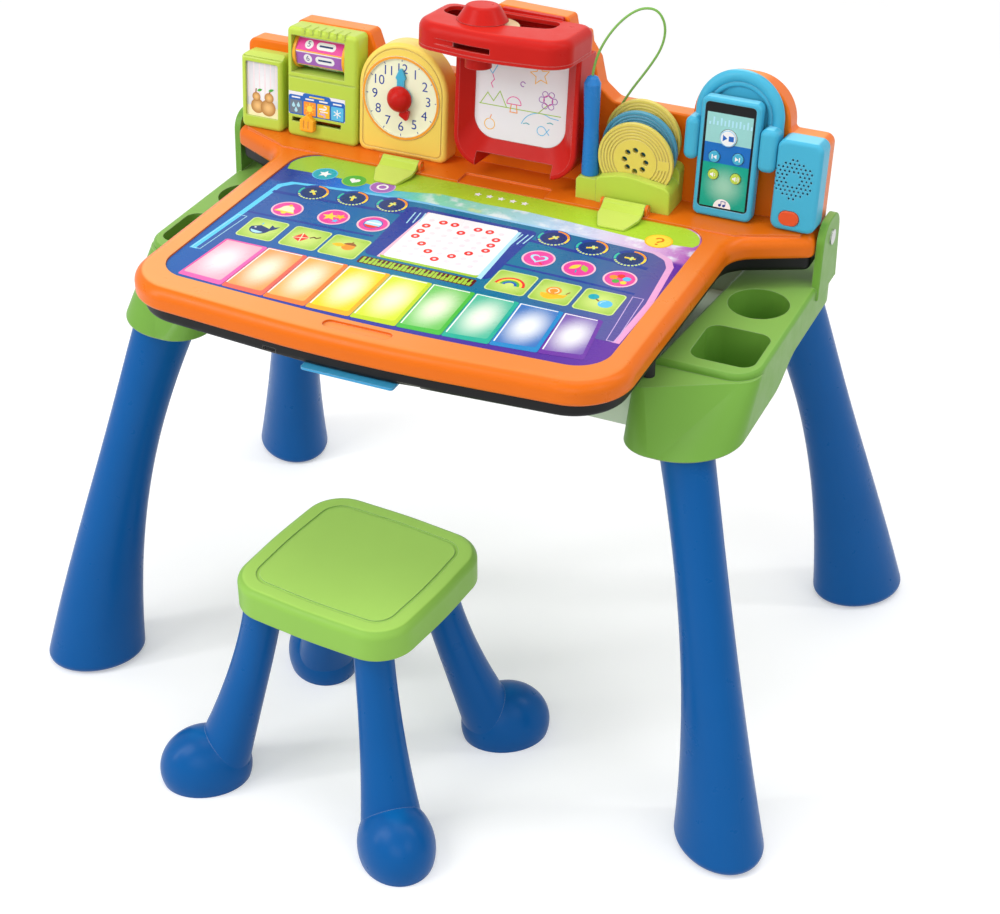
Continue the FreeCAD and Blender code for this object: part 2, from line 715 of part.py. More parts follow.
def leg_centre(leg, z):
    """Middle of a leg at a height, on its outward bow."""
    part = (z - FLOOR_Z) / (LEG_TOP_Z - FLOOR_Z)
    turn = math.radians(leg_turn(leg))
    offset = 4 * leg.bow * part * (1 - part)
    x = leg.foot[0] + (leg.top[0] - leg.foot[0]) * part + math.cos(turn) * offset
    y = leg.foot[1] + (leg.top[1] - leg.foot[1]) * part + math.sin(turn) * offset
    return Vector(x, y, z)


def leg_socket(leg, grow, low, high):
    """Upright oval column round a leg's tenon, turned along the leg's diagonal."""
    column = oval_face(LEG_TENON_AXES[0] + grow, LEG_TENON_AXES[1] + grow).extrude(UP * (high - low))
    column.rotate(Vector(0, 0, 0), UP, leg_turn(leg))
    centre = leg_centre(leg, leg.join)
    column.translate(Vector(centre.x, centre.y, low))
    return column


def oval_wire(long_axis, short_axis):
    return Part.Wire(Part.Ellipse(Vector(0, 0, 0), long_axis, short_axis).toShape())


def oval_face(long_axis, short_axis):
    return Part.Face(oval_wire(long_axis, short_axis))


def make_caddy():
    """Right-hand caddy: sloping front, two bins, the sockets of two legs and the hinge upright."""
    low = SKIRT_FRONT_Z - 20
    rear = plate(rear_outline(0.0), low, BASE_TOP_Z)
    body = slope_block(0.0).fuse([rear, step_block()]).removeSplitter()
    body = round_edges(body, 2, BASE_TOP_Z, BASE_EDGE_ROUND)
    hollow = slope_block(BASE_WALL).fuse(plate(rear_outline(BASE_WALL), low - 1, STEP_Z - BASE_WALL))
    for kind, depth in BIN_DEPTH.items():
        hollow = hollow.cut(bin_shape(kind, BIN_WALL, BASE_TOP_Z - depth - BIN_WALL))
    for leg in (FRONT_LEG, REAR_LEG):
        hollow = hollow.cut(leg_socket(leg, BASE_WALL, leg.join - 60, BASE_TOP_Z))
    body = body.cut(hollow).cut(skirt_cut())
    for kind, depth in BIN_DEPTH.items():
        body = body.cut(bin_shape(kind, 0, BASE_TOP_Z - depth))
    for leg in (FRONT_LEG, REAR_LEG):
        body = body.cut(leg_socket(leg, 0, leg.join - 60, leg.join + LEG_TENON))
    return body.fuse(make_upright()).cut(hinge_hole())


UPRIGHT_X = (WING_HALF_WIDTH + UPRIGHT_GAP, WING_HALF_WIDTH + UPRIGHT_GAP + UPRIGHT_THICKNESS)


def make_upright():
    half = UPRIGHT_DEPTH / 2
    upright = profile([
        (HINGE_Y - half - 5, BASE_TOP_Z - 12, 0.0),
        (HINGE_Y + half + 5, BASE_TOP_Z - 12, 0.0),
        (HINGE_Y + half, UPRIGHT_TOP_Z, 18.0),
        (HINGE_Y - half, UPRIGHT_TOP_Z, 18.0),
    ], *UPRIGHT_X)
    return upright.makeFillet(1.5, edges_in_plane(upright, 0, UPRIGHT_X[1]))


def hinge_hole():
    return rod((UPRIGHT_X[0] - 1, HINGE_Y, HINGE_Z), RIGHT, HINGE_PIN_RADIUS, UPRIGHT_THICKNESS + 2)


def make_hinge_pins():
    inner = WING_HALF_WIDTH - HINGE_PIN_DEPTH + 1
    pin = rod((inner, HINGE_Y, HINGE_Z), RIGHT, HINGE_PIN_RADIUS, UPRIGHT_X[1] - inner)
    head = rod((UPRIGHT_X[1], HINGE_Y, HINGE_Z), RIGHT, HINGE_PIN_RADIUS + 3, 1.6)
    pin = pin.fuse(head)
    return Part.makeCompound([pin, mirrored(pin)])


def tray_outline(inset):
    front = TRAY_FRONT_HALF - inset
    rear = TRAY_REAR_HALF - inset
    right = [
        (front, TRAY_FRONT_Y + inset, 0.0 if inset == 0 else 8.0),
        (rear, TRAY_SIDE_BEND_Y, 20.0 + inset),
        (rear, TRAY_REAR_Y - inset, 0.0 if inset == 0 else 8.0),
    ]
    left = [(-x, y, radius) for x, y, radius in reversed(right)]
    return right + left


def make_storage_tray():
    tray = plate(tray_outline(0.0), TRAY_FLOOR_Z, TRAY_TOP_Z)
    return tray.cut(plate(tray_outline(TRAY_WALL), TRAY_FLOOR_Z + TRAY_WALL, TRAY_TOP_Z + 1))


def make_rest_pads():
    pads = []
    for x in (-BLOCK_INNER_X - PAD_INSET, BLOCK_INNER_X + PAD_INSET):
        pads.append(rod((x, PAD_Y, STEP_Z), UP, PAD_RADIUS, PAN_BOTTOM_Z - RUNNING_GAP - STEP_Z))
    return Part.makeCompound(pads)


def leg_axes(z):
    """Semi-axes of a leg's oval at a height, by a cubic through the four measured ones."""
    heights = (FLOOR_Z, LEG_SHIN_Z, LEG_KNEE_Z, LEG_TOP_Z)
    z = min(z, LEG_TOP_Z)
    ovals = (LEG_FOOT_AXES, LEG_SHIN_AXES, LEG_KNEE_AXES, LEG_TOP_AXES)
    result = []
    for axis in (0, 1):
        value = 0.0
        for i, height in enumerate(heights):
            weight = 1.0
            for j, other in enumerate(heights):
                if i != j:
                    weight *= (z - other) / (height - other)
            value += weight * ovals[i][axis]
        result.append(value)
    return result


def make_leg(leg):
    """Blow-moulded oval leg, lofted through seven sections, with its tenon on top."""
    sections = []
    for step in range(7):
        z = FLOOR_Z + (leg.join - FLOOR_Z) * step / 6
        wire = oval_wire(*leg_axes(z))
        wire.rotate(Vector(0, 0, 0), UP, leg_turn(leg))
        wire.translate(leg_centre(leg, z))
        sections.append(wire)
    body = Part.makeLoft(sections, True, False)
    body = round_edges(body, 2, FLOOR_Z, LEG_BOTTOM_ROUND)
    return body.fuse(leg_socket(leg, 0, leg.join, leg.join + LEG_TENON))


# Back wall

def dome_corners(centre, radius, base, top):
    """Corners of a round-topped riser, for an outline that runs from right to left."""
    foot = 4.0
    crown = min(radius - 0.5, top - base - foot - 0.2)
    return [
        (centre + radius, base, foot),
        (centre + radius, top, crown),
        (centre - radius, top, crown),
        (centre - radius, base, foot),
    ]


def panel_outline(inset, bottom):
    """Outline of the orange panel: calendar riser, projector riser and headphone dome."""
    side = PANEL_HALF_WIDTH - inset
    top = PANEL_H - inset
    left, right = PROJECTOR_X
    roof = PROJECTOR_H[1]
    return [
        (-side, bottom, 0.0),
        (side, bottom, 0.0),
        (side, top, 8.0),
        *dome_corners(HEADPHONE_X, HEADPHONE_RADIUS + 4 - inset, top, HEADPHONE_TOP - 7 - inset),
        (right + 20 + inset, top, 10.0),
        (right + 5 - inset, roof - 31 - inset, 6.0),
        (right - 1 - inset, roof - 9 - inset, 4.0),
        (right - 10 - inset, roof + 3 - inset, 4.0),
        (right - 12 - inset, roof + 14 - inset, 3.0),
        (right - 25 - inset, roof + 14 - inset, 3.0),
        (right - 28 - inset, roof + 26 - inset, 4.0),
        (left + 24 + inset, roof + 28 - inset, 4.0),
        (left + 4 + inset, roof + 6 - inset, 12.0),
        (left - 8 + inset, top, 12.0),
        (CALENDAR_X[1] + 12 - inset, top, 12.0),
        (CALENDAR_X[1] + 2 - inset, CALENDAR_TOP + 1 - inset, 6.0),
        (CALENDAR_X[0] + inset, CALENDAR_TOP + 1 - inset, 6.0),
        (CALENDAR_X[0] - 6 + inset, top, 6.0),
        (-side, top, 8.0),
    ]


PANEL_D = (MODULE_DEPTH, MODULE_DEPTH + PANEL_THICKNESS)
COVER_THICKNESS = 3.0


def make_back_panel():
    body = panel(panel_outline(0.0, -8.0), *PANEL_D)
    body = round_edges(body, 1, PANEL_D[0], PANEL_ROUND)
    hollow = panel(panel_outline(PANEL_WALL, 4.0), PANEL_D[0] + PANEL_WALL, PANEL_D[1] + 1)
    body = body.cut(hollow)
    drum_pocket = box(DRUM_WINDOW_X,
                      (PANEL_D[0] - 1, PANEL_D[0] + PANEL_WALL + 1),
                      (DRUM_H - DRUM_FLANGE_RADIUS - 1, DRUM_H + DRUM_FLANGE_RADIUS + 1))
    body = body.cut(drum_pocket)
    return above_ledge(lean(body))


def make_back_cover():
    cover = panel(panel_outline(PANEL_WALL + RUNNING_GAP, 4.0 + RUNNING_GAP),
                  PANEL_D[1] - COVER_THICKNESS, PANEL_D[1])
    for x, h in cover_screws():
        cover = cover.cut(rod((x, PANEL_D[1] - COVER_THICKNESS - 1, h), BACK, 2.0, COVER_THICKNESS + 2))
    return above_ledge(lean(cover))


def cover_screws():
    return [(x, h) for x in (-262.0, -90.0, 90.0, 262.0) for h in (18.0, 68.0)]


def make_back_screws():
    screws = []
    for x, h in cover_screws():
        shank = rod((x, PANEL_D[0] + PANEL_WALL, h), BACK, 2.0, PANEL_D[1] - PANEL_D[0] - PANEL_WALL)
        head = rod((x, PANEL_D[1], h), BACK, 3.6, 1.8)
        slot = box((x - 0.5, x + 0.5), (PANEL_D[1] + 0.9, PANEL_D[1] + 3), (h - 2.4, h + 2.4))
        screws.append(shank.fuse(head).cut(slot))
    return lean(Part.makeCompound(screws))


def make_photo_frame():
    body = panel(rectangle(PHOTO_X, (0.0, PHOTO_TOP), 5.0), 0.0, MODULE_DEPTH)
    body = round_edges(body, 1, 0.0, CASE_ROUND)
    body = body.cut(profile([
        (-1.0, PHOTO_TOP - 4, 0.0),
        (MODULE_DEPTH + 1, PHOTO_TOP + 3, 0.0),
        (MODULE_DEPTH + 1, PHOTO_TOP + 9, 0.0),
        (-1.0, PHOTO_TOP + 9, 0.0),
    ], PHOTO_X[0] - 1, PHOTO_X[1] + 1))
    window = panel(rectangle(PHOTO_WINDOW_X, PHOTO_WINDOW_H, 2.0), -1.0, 2.4)
    slot = box((PHOTO_WINDOW_X[0] - PHOTO_CARD_MARGIN - RUNNING_GAP,
                PHOTO_WINDOW_X[1] + PHOTO_CARD_MARGIN + RUNNING_GAP),
               (2.2, 2.2 + PHOTO_CARD_THICKNESS + 2 * RUNNING_GAP),
               (PHOTO_WINDOW_H[0] - PHOTO_CARD_MARGIN, PHOTO_TOP + 5))
    return above_ledge(lean(body.cut(window).cut(slot)))


def make_photo_card():
    card = box((PHOTO_WINDOW_X[0] - PHOTO_CARD_MARGIN, PHOTO_WINDOW_X[1] + PHOTO_CARD_MARGIN),
               (2.2 + RUNNING_GAP, 2.2 + RUNNING_GAP + PHOTO_CARD_THICKNESS),
               (PHOTO_WINDOW_H[0] - PHOTO_CARD_MARGIN, PHOTO_WINDOW_H[1] + PHOTO_CARD_MARGIN))
    return lean(card)


DRUM_D = DRUM_RADIUS + 1.0


def make_calendar_case():
    body = panel(rectangle(CALENDAR_X, (0.0, CALENDAR_TOP), 5.0), 0.0, MODULE_DEPTH)
    body = round_edges(body, 1, 0.0, CASE_ROUND)
    gap = DRUM_FLANGE_RADIUS + 0.8
    body = body.cut(box(DRUM_WINDOW_X, (-1.0, MODULE_DEPTH + 1), (DRUM_H - gap, DRUM_H + gap)))
    axle = rod((DRUM_WINDOW_X[0] - DRUM_AXLE_REACH - 0.3, DRUM_D, DRUM_H), RIGHT,
               DRUM_AXLE_RADIUS + PIN_CLEARANCE,
               DRUM_WINDOW_X[1] - DRUM_WINDOW_X[0] + 2 * (DRUM_AXLE_REACH + 0.3))
    body = body.cut(axle)
    groove = box((CALENDAR_X[0] - 1, CALENDAR_X[1] + 1), (-1.0, 0.8), (CASE_GROOVE_H, CASE_GROOVE_H + 1.1))
    body = body.cut(groove)
    label_seat = box(WEATHER_LABEL_X, (-1.0, LABEL_THICKNESS), WEATHER_LABEL_H)
    body = body.cut(label_seat)
    half_slot = SLIDER_SLOT_HEIGHT / 2
    slot = panel(rectangle(SLIDER_SLOT_X, (SLIDER_H - half_slot, SLIDER_H + half_slot), 0.2),
                 -1.0, CASE_WALL + 1)
    pocket = box((CALENDAR_X[0] + 2, SLIDER_SLOT_X[1] + 14), (CASE_WALL, MODULE_DEPTH + 1),
                 (SLIDER_H - 8, SLIDER_H + 8))
    body = body.cut(slot).cut(pocket)
    for index in range(RIB_COUNT):
        x = -214.0 + index * 8.4
        rib = panel(rectangle((x - 1.6, x + 1.6), (100.6, CALENDAR_TOP + 0.8), 0.6), -0.6, 12.0)
        body = body.fuse(rib)
    return above_ledge(lean(body))


def make_weather_label():
    return lean(box(WEATHER_LABEL_X, (0.0, LABEL_THICKNESS), WEATHER_LABEL_H))


def make_day_drum():
    """Seven-sided day drum with two thumb flanges, moulded in one with its axle."""
    left = DRUM_WINDOW_X[0] + 0.5
    right = DRUM_WINDOW_X[1] - 0.5
    corners = []
    for day in range(DRUM_DAYS):
        angle = math.radians(90 + 180 / DRUM_DAYS) + day * 2 * math.pi / DRUM_DAYS
        corners.append((DRUM_D + DRUM_RADIUS * math.sin(angle - math.pi / 2),
                        DRUM_H + DRUM_RADIUS * math.cos(angle - math.pi / 2), 0.8))
    drum = profile(corners, left + DRUM_FLANGE, right - DRUM_FLANGE)
    for x in (left, right - DRUM_FLANGE):
        flange = rod((x, DRUM_D, DRUM_H), RIGHT, DRUM_FLANGE_RADIUS, DRUM_FLANGE)
        drum = drum.fuse(flange)
    reach = DRUM_AXLE_REACH
    axle = rod((left - reach, DRUM_D, DRUM_H), RIGHT, DRUM_AXLE_RADIUS, right - left + 2 * reach)
    return lean(drum.fuse(axle))


def make_weather_slider():
    """House-shaped knob in front of the slot, with a stem and a rear plate behind the wall."""
    half = SLIDER_KNOB_WIDTH / 2
    low = SLIDER_H - SLIDER_KNOB_HEIGHT / 2
    high = SLIDER_H + SLIDER_KNOB_HEIGHT / 2
    knob = panel([
        (SLIDER_X - half, low, 2.5),
        (SLIDER_X + half, low, 2.5),
        (SLIDER_X + half, high - 6, 2.0),
        (SLIDER_X, high, 2.0),
        (SLIDER_X - half, high - 6, 2.0),
    ], -6.0, -RUNNING_GAP)
    knob = round_edges(knob, 1, -6.0, 1.2)
    for x in (SLIDER_X - 2.4, SLIDER_X + 2.4):
        line = panel(rectangle((x - 0.9, x + 0.9), (low + 3.0, high - 6.5), 0.8), -7.0, -5.4)
        knob = knob.cut(line)
    stem_half = SLIDER_SLOT_HEIGHT / 2 - RUNNING_GAP
    stem = box((SLIDER_X - 2.5, SLIDER_X + 2.5), (-1.0, CASE_WALL + 1),
               (SLIDER_H - stem_half, SLIDER_H + stem_half))
    rear = box((SLIDER_X - 5, SLIDER_X + 5), (CASE_WALL + RUNNING_GAP, CASE_WALL + 2.3),
               (SLIDER_H - 6, SLIDER_H + 6))
    return lean(knob.fuse([stem, rear]))


def make_clock_case():
    middle = (CLOCK_X[0] + CLOCK_X[1]) / 2
    body = panel(clock_outline(0.0), 0.0, MODULE_DEPTH)
    body = round_edges(body, 1, 0.0, CASE_ROUND)
    dial_seat = rod((DIAL_X, -1.0, DIAL_H), BACK, DIAL_RADIUS, DIAL_DEPTH + 1)
    hollow = rod((DIAL_X, 8.0, DIAL_H), BACK, DIAL_RADIUS - 3, MODULE_DEPTH)
    spindle = rod((DIAL_X, 0.0, DIAL_H), BACK, SPINDLE_RADIUS, MODULE_DEPTH)
    foot = box((middle - 30, middle + 30), (-1.0, 3.0), (-1.0, 2.5))
    groove = panel(clock_outline(RIM_GROOVE_INSET), -1.0, RIM_GROOVE)
    groove = groove.cut(panel(clock_outline(RIM_GROOVE_INSET + RIM_GROOVE), -2.0, 2.0))
    for space in (dial_seat, hollow, spindle, foot, groove):
        body = body.cut(space)
    return above_ledge(lean(body))


def clock_outline(inset):
    """Outline of the clock's case, flat below and a half circle above."""
    left, right = CLOCK_X[0] + inset, CLOCK_X[1] - inset
    top = CLOCK_TOP - inset
    crown = (right - left) / 2 - 0.5
    return [
        (left, inset, 8.0 - inset * 0.5),
        (right, inset, 8.0 - inset * 0.5),
        (right, top, crown),
        (left, top, crown),
    ]


def make_clock_dial():
    """Dial with a raised ring round its edge."""
    seat = DIAL_DEPTH
    dial = rod((DIAL_X, seat - 1.6, DIAL_H), BACK, DIAL_RADIUS, 1.6)
    ring = rod((DIAL_X, seat - 3.4, DIAL_H), BACK, DIAL_RADIUS, 3.4)
    ring = ring.cut(rod((DIAL_X, seat - 5, DIAL_H), BACK, DIAL_RADIUS - DIAL_RING, 6.0))
    hole = rod((DIAL_X, -9.0, DIAL_H), BACK, SPINDLE_RADIUS, 20.0)
    return lean(dial.fuse(ring).cut(hole))


DIAL_FACE_D = DIAL_DEPTH - 1.6
MINUTE_D = (DIAL_FACE_D - RUNNING_GAP - HAND_THICKNESS, DIAL_FACE_D - RUNNING_GAP)
HOUR_D = (MINUTE_D[0] - RUNNING_GAP - HAND_THICKNESS, MINUTE_D[0] - RUNNING_GAP)
SPINDLE_END_D = HOUR_D[0] - 3.0


def make_clock_spindle():
    spindle = rod((DIAL_X, SPINDLE_END_D, DIAL_H), BACK, SPINDLE_RADIUS, 9.0 - SPINDLE_END_D)
    collar = rod((DIAL_X, 8.0, DIAL_H), BACK, SPINDLE_RADIUS + 3, 2.0)
    return lean(spindle.fuse(collar))


def hand_outline(length, width):
    """Arrow-shaped hand that points up from the dial's centre."""
    half = width / 2
    stem = half * 0.7
    return [
        (DIAL_X - stem, DIAL_H, 0.0),
        (DIAL_X + stem, DIAL_H, 0.0),
        (DIAL_X + stem, DIAL_H + length * 0.55, 1.0),
        (DIAL_X + half, DIAL_H + length * 0.62, 1.4),
        (DIAL_X, DIAL_H + length, 2.0),
        (DIAL_X - half, DIAL_H + length * 0.62, 1.4),
        (DIAL_X - stem, DIAL_H + length * 0.55, 1.0),
    ]


def make_minute_hand():
    hub = rod((DIAL_X, MINUTE_D[0], DIAL_H), BACK, HUB_RADIUS - 0.8, HAND_THICKNESS)
    blade = panel(hand_outline(MINUTE_HAND_LENGTH, 10.5), *MINUTE_D)
    hole = rod((DIAL_X, MINUTE_D[0] - 1, DIAL_H), BACK, SPINDLE_RADIUS + PIN_CLEARANCE, HAND_THICKNESS + 2)
    return lean(hub.fuse(blade).cut(hole))


HOUR_HAND_TURN = 157.0


def make_hour_hand():
    """Hour hand under a round knob that covers the spindle's end."""
    cap_radius = (HUB_RADIUS ** 2 + HUB_HEIGHT ** 2) / (2 * HUB_HEIGHT)
    base_d = HOUR_D[0]
    ball = Part.makeSphere(cap_radius, Vector(DIAL_X, base_d - HUB_HEIGHT + cap_radius, DIAL_H))
    cap = ball.common(box((DIAL_X - 20, DIAL_X + 20), (base_d - 20, base_d), (DIAL_H - 20, DIAL_H + 20)))
    hub = rod((DIAL_X, HOUR_D[0], DIAL_H), BACK, HUB_RADIUS, HAND_THICKNESS)
    blade = panel(hand_outline(HOUR_HAND_LENGTH, 12.0), *HOUR_D)
    blade.rotate(Vector(DIAL_X, 0, DIAL_H), BACK, HOUR_HAND_TURN)
    hole = rod((DIAL_X, SPINDLE_END_D - RUNNING_GAP, DIAL_H), BACK, SPINDLE_RADIUS + PIN_CLEARANCE,
               HOUR_D[1] - SPINDLE_END_D + 1)
    return lean(cap.fuse([hub, blade]).cut(hole))


# Projector

def make_projector_frame():
    """Picture frame with sloping inner walls, open at its lower edge between two feet."""
    outer = panel([
        (PROJECTOR_X[0], PROJECTOR_H[0], PROJECTOR_CORNER),
        (PROJECTOR_X[1], PROJECTOR_H[0], PROJECTOR_CORNER),
        (PROJECTOR_X[1], PROJECTOR_H[1], 0.0),
        (PROJECTOR_X[0], PROJECTOR_H[1], 0.0),
    ], PROJECTOR_FRONT_D, MODULE_DEPTH)
    outer = round_edges(outer, 1, PROJECTOR_FRONT_D, 2.0)
    left = PROJECTOR_X[0] + PROJECTOR_WALL
    right = PROJECTOR_X[1] - PROJECTOR_WALL
    low = PROJECTOR_H[0] + PROJECTOR_WALL
    front = rounded_wire([
        (left, low, PROJECTOR_CORNER - PROJECTOR_WALL),
        (right, low, PROJECTOR_CORNER - PROJECTOR_WALL),
        (right, 160.0, 2.0),
        (left, 160.0, 2.0),
    ], lambda p: Vector(p.x, PROJECTOR_FRONT_D, p.y))
    rear = rounded_wire([
        (PICTURE_X[0], PICTURE_H, PICTURE_CORNER),
        (PICTURE_X[1], PICTURE_H, PICTURE_CORNER),
        (PICTURE_X[1], 160.0, 2.0),
        (PICTURE_X[0], 160.0, 2.0),
    ], lambda p: Vector(p.x, 0.0, p.y))
    recess = Part.makeLoft([front, rear], True, True)
    body = outer.cut(recess)
    plate_seat = panel(picture_outline(RUNNING_GAP), -0.01, PICTURE_THICKNESS)
    opening = box(SILL_X, (PROJECTOR_FRONT_D - 1, MODULE_DEPTH + 1), (0.0, SILL_H))
    hollow = box((PICTURE_X[0], PICTURE_X[1]), (PICTURE_THICKNESS + 2.5, MODULE_DEPTH + 1),
                 (PICTURE_H, PROJECTOR_H[1] - 6))
    return above_ledge(lean(body.cut(plate_seat).cut(opening).cut(hollow)))


def picture_outline(grow):
    return [
        (PICTURE_X[0] - grow, PICTURE_H - grow, PICTURE_CORNER + grow),
        (PICTURE_X[1] + grow, PICTURE_H - grow, PICTURE_CORNER + grow),
        (PICTURE_X[1] + grow, PROJECTOR_H[1] - 3, 2.0),
        (PICTURE_X[0] - grow, PROJECTOR_H[1] - 3, 2.0),
    ]


def make_picture_screen():
    return lean(panel(picture_outline(0.0), 0.0, PICTURE_THICKNESS))


HEAD_D = (HEAD_FRONT_D, MODULE_DEPTH)
HEAD_H = (PROJECTOR_H[1], PROJECTOR_H[1] + HEAD_HEIGHT)


def head_outline(inset):
    x = (HEAD_X[0] + inset, HEAD_X[1] - inset)
    d = (HEAD_D[0] + inset, HEAD_D[1] - inset)
    return [
        (x[0], d[0] + 8, HEAD_CORNER - inset * 0.5),
        ((x[0] + x[1]) / 2, d[0] - 4, 160.0),
        (x[1], d[0] + 8, HEAD_CORNER - inset * 0.5),
        (x[1], d[1], 14.0),
        (x[0], d[1], 14.0),
    ]


def make_projector_head():
    """Upper housing of the projector, open below, with the window over the picture disc."""
    body = plate(head_outline(0.0), HEAD_H[0] + HEAD_COVER_THICKNESS, HEAD_H[1])
    body = round_edges(body, 2, HEAD_H[1], HEAD_ROUND)
    hollow = plate(head_outline(HEAD_WALL), HEAD_H[0], HEAD_H[1] - HEAD_WALL - 1)
    body = body.cut(hollow)
    window_x = (LENS_X - 45, LENS_X + 62)
    window = plate([
        (window_x[0], KNOB_D + 6, 12.0),
        (KNOB_X, KNOB_D - 12, 60.0),
        (window_x[1], KNOB_D + 6, 12.0),
        (window_x[1], KNOB_D + 30, 9.0),
        (window_x[0], KNOB_D + 30, 9.0),
    ], HEAD_H[1] - HEAD_WALL - 2, HEAD_H[1] + 1)
    knob_hole = rod((KNOB_X, KNOB_D, HEAD_H[1] - 8), UP, KNOB_RADIUS + 0.5, 10.0)
    body = body.cut(window).cut(knob_hole)
    slot_low = HEAD_H[0] + 7
    front_slot = box((HEAD_X[0] + 22, KNOB_X + 26), (HEAD_D[0] - 10, HEAD_D[0] + 4),
                     (slot_low, slot_low + 5))
    body = body.cut(front_slot)
    tab = panel([
        (-27.0, HEAD_H[1] - 10, 0.0),
        (37.0, HEAD_H[1] - 10, 0.0),
        (37.0, HEAD_H[1] + 2, 2.0),
        (-22.0, HEAD_H[1] + 3, 2.0),
    ], HEAD_D[1] - 5, HEAD_D[1])
    return lean(body.fuse(tab))


def make_head_cover():
    """Underside of the projector's head, with the seat of the lens barrel."""
    top = HEAD_H[0] + HEAD_COVER_THICKNESS
    cover = plate(head_outline(0.0), HEAD_H[0], top)
    cover = cover.cut(rod((LENS_X, LENS_D, HEAD_H[0] - 1), UP, LENS_RADIUS, 6.0))
    axle = rod((KNOB_X, KNOB_D, top), UP, 3.0, HEAD_H[1] - 6 - top)
    return lean(cover.fuse(axle))


def make_lens_barrel():
    length = LENS_LENGTH + HEAD_COVER_THICKNESS
    barrel = rod((LENS_X, LENS_D, HEAD_H[0] - LENS_LENGTH), UP, LENS_RADIUS, length)
    flange = rod((LENS_X, LENS_D, HEAD_H[0] - 5), UP, LENS_RADIUS + 3, 5.0)
    bore = rod((LENS_X, LENS_D, HEAD_H[0] - LENS_LENGTH - 1), UP, LENS_RADIUS - 3, 6.0)
    return lean(barrel.fuse(flange).cut(bore))


DISC_TOP_H = HEAD_H[1] - HEAD_WALL - 1 - RUNNING_GAP


def make_projector_knob():
    """Tapered knob that turns with the picture disc under it."""
    low = DISC_TOP_H
    seat = HEAD_H[1] + RUNNING_GAP
    foot = Vector(KNOB_X, KNOB_D, seat)
    taper = Part.makeCone(KNOB_SKIRT_RADIUS, KNOB_CROWN_RADIUS, KNOB_HEIGHT, foot, UP)
    taper = round_edges(taper, 2, seat + KNOB_HEIGHT, 4.0)
    knob = taper.fuse(rod((KNOB_X, KNOB_D, low), UP, KNOB_RADIUS, seat - low))
    hole = rod((KNOB_X, KNOB_D, low - 1), UP, 3.0 + PIN_CLEARANCE, HEAD_H[1] - 5 - low + 1)
    return lean(knob.cut(hole))


def make_picture_disc():
    disc = rod((KNOB_X, KNOB_D, DISC_TOP_H - 2), UP, PICTURE_DISC_RADIUS, 2.0)
    hole = rod((KNOB_X, KNOB_D, DISC_TOP_H - 3), UP, 3.0 + PIN_CLEARANCE, 4.0)
    return lean(disc.cut(hole))


# Pen, discs and cord

def disc_centre(index):
    return Vector(DISC_X, DISC_FRONT_Y + index * DISC_PITCH_Y, DISC_FRONT_Z + index * DISC_STEP_Z)


def make_disc_holder():
    """Stepped holder with three round-bottomed slots, in one with the pen's cup."""
    arch = [
        (HOLDER_X[0], 0.0, 0.0),
        (HOLDER_X[1], 0.0, 0.0),
        (HOLDER_X[1], HOLDER_FRONT_Z - 6, 8.0),
        (HOLDER_X[0] + 26, HOLDER_FRONT_Z + 1, 60.0),
        (HOLDER_X[0], HOLDER_FRONT_Z - 6, 6.0),
    ]
    front = panel(arch, HOLDER_FRONT_Y, HOLDER_SHOULDER_Y)
    front = round_edges(front, 1, HOLDER_FRONT_Y, 1.6)
    shoulder = panel(rectangle(HOLDER_X, (0.0, HOLDER_SHOULDER_Z), (0.0, 0.0, 7.0, 7.0)),
                     HOLDER_SHOULDER_Y, 240.0)
    cup = panel(rectangle(CUP_X, (0.0, CUP_TOP_Z), (0.0, 0.0, 0.0, 4.0)), CUP_FRONT_Y, 240.0)
    body = front.fuse([shoulder, cup])
    half_slot = DISC_THICKNESS / 2 + DISC_SLOT_GAP
    for index in range(3):
        centre = disc_centre(index)
        start = (centre.x, centre.y - half_slot, centre.z)
        body = body.cut(rod(start, BACK, DISC_RADIUS + DISC_SLOT_GAP, 2 * half_slot))
    bore = rod((PEN_X, PEN_Y, PEN_TIP_Z - 1), UP, PEN_GRIP_RADIUS + RUNNING_GAP + 0.1, 40.0)
    gland = rod((GLAND_X, GLAND_Y, CUP_TOP_Z - 5), UP, GLAND_RADIUS - 0.8, 10.0)
    return above_ledge(before_panel(body.cut(bore).cut(gland)))


def make_disc(index):
    """Stencil disc with ring grooves, a circle of eight holes and a square mark near its edge."""
    centre = disc_centre(index)
    start = (centre.x, centre.y - DISC_THICKNESS / 2, centre.z)
    disc = rod(start, BACK, DISC_RADIUS, DISC_THICKNESS)
    for radius in DISC_GROOVE_RADII:
        ring = rod(start, BACK, radius, 0.7).cut(rod(start, BACK, radius - DISC_GROOVE, 0.7))
        disc = disc.cut(ring)
    mark_x = centre.x + DISC_RADIUS - 3.0
    mark = box((mark_x - 2 * DISC_MARK[0], mark_x), (start[1], start[1] + 1.0),
               (centre.z - DISC_MARK[1], centre.z + DISC_MARK[1]))
    disc = disc.fuse(mark)
    for hole in range(DISC_HOLES):
        angle = 2 * math.pi * hole / DISC_HOLES
        x = centre.x + DISC_HOLE_CIRCLE * math.cos(angle)
        z = centre.z + DISC_HOLE_CIRCLE * math.sin(angle)
        disc = disc.cut(rod((x, start[1] - 1, z), BACK, DISC_HOLE_RADIUS, DISC_THICKNESS + 2))
    return disc


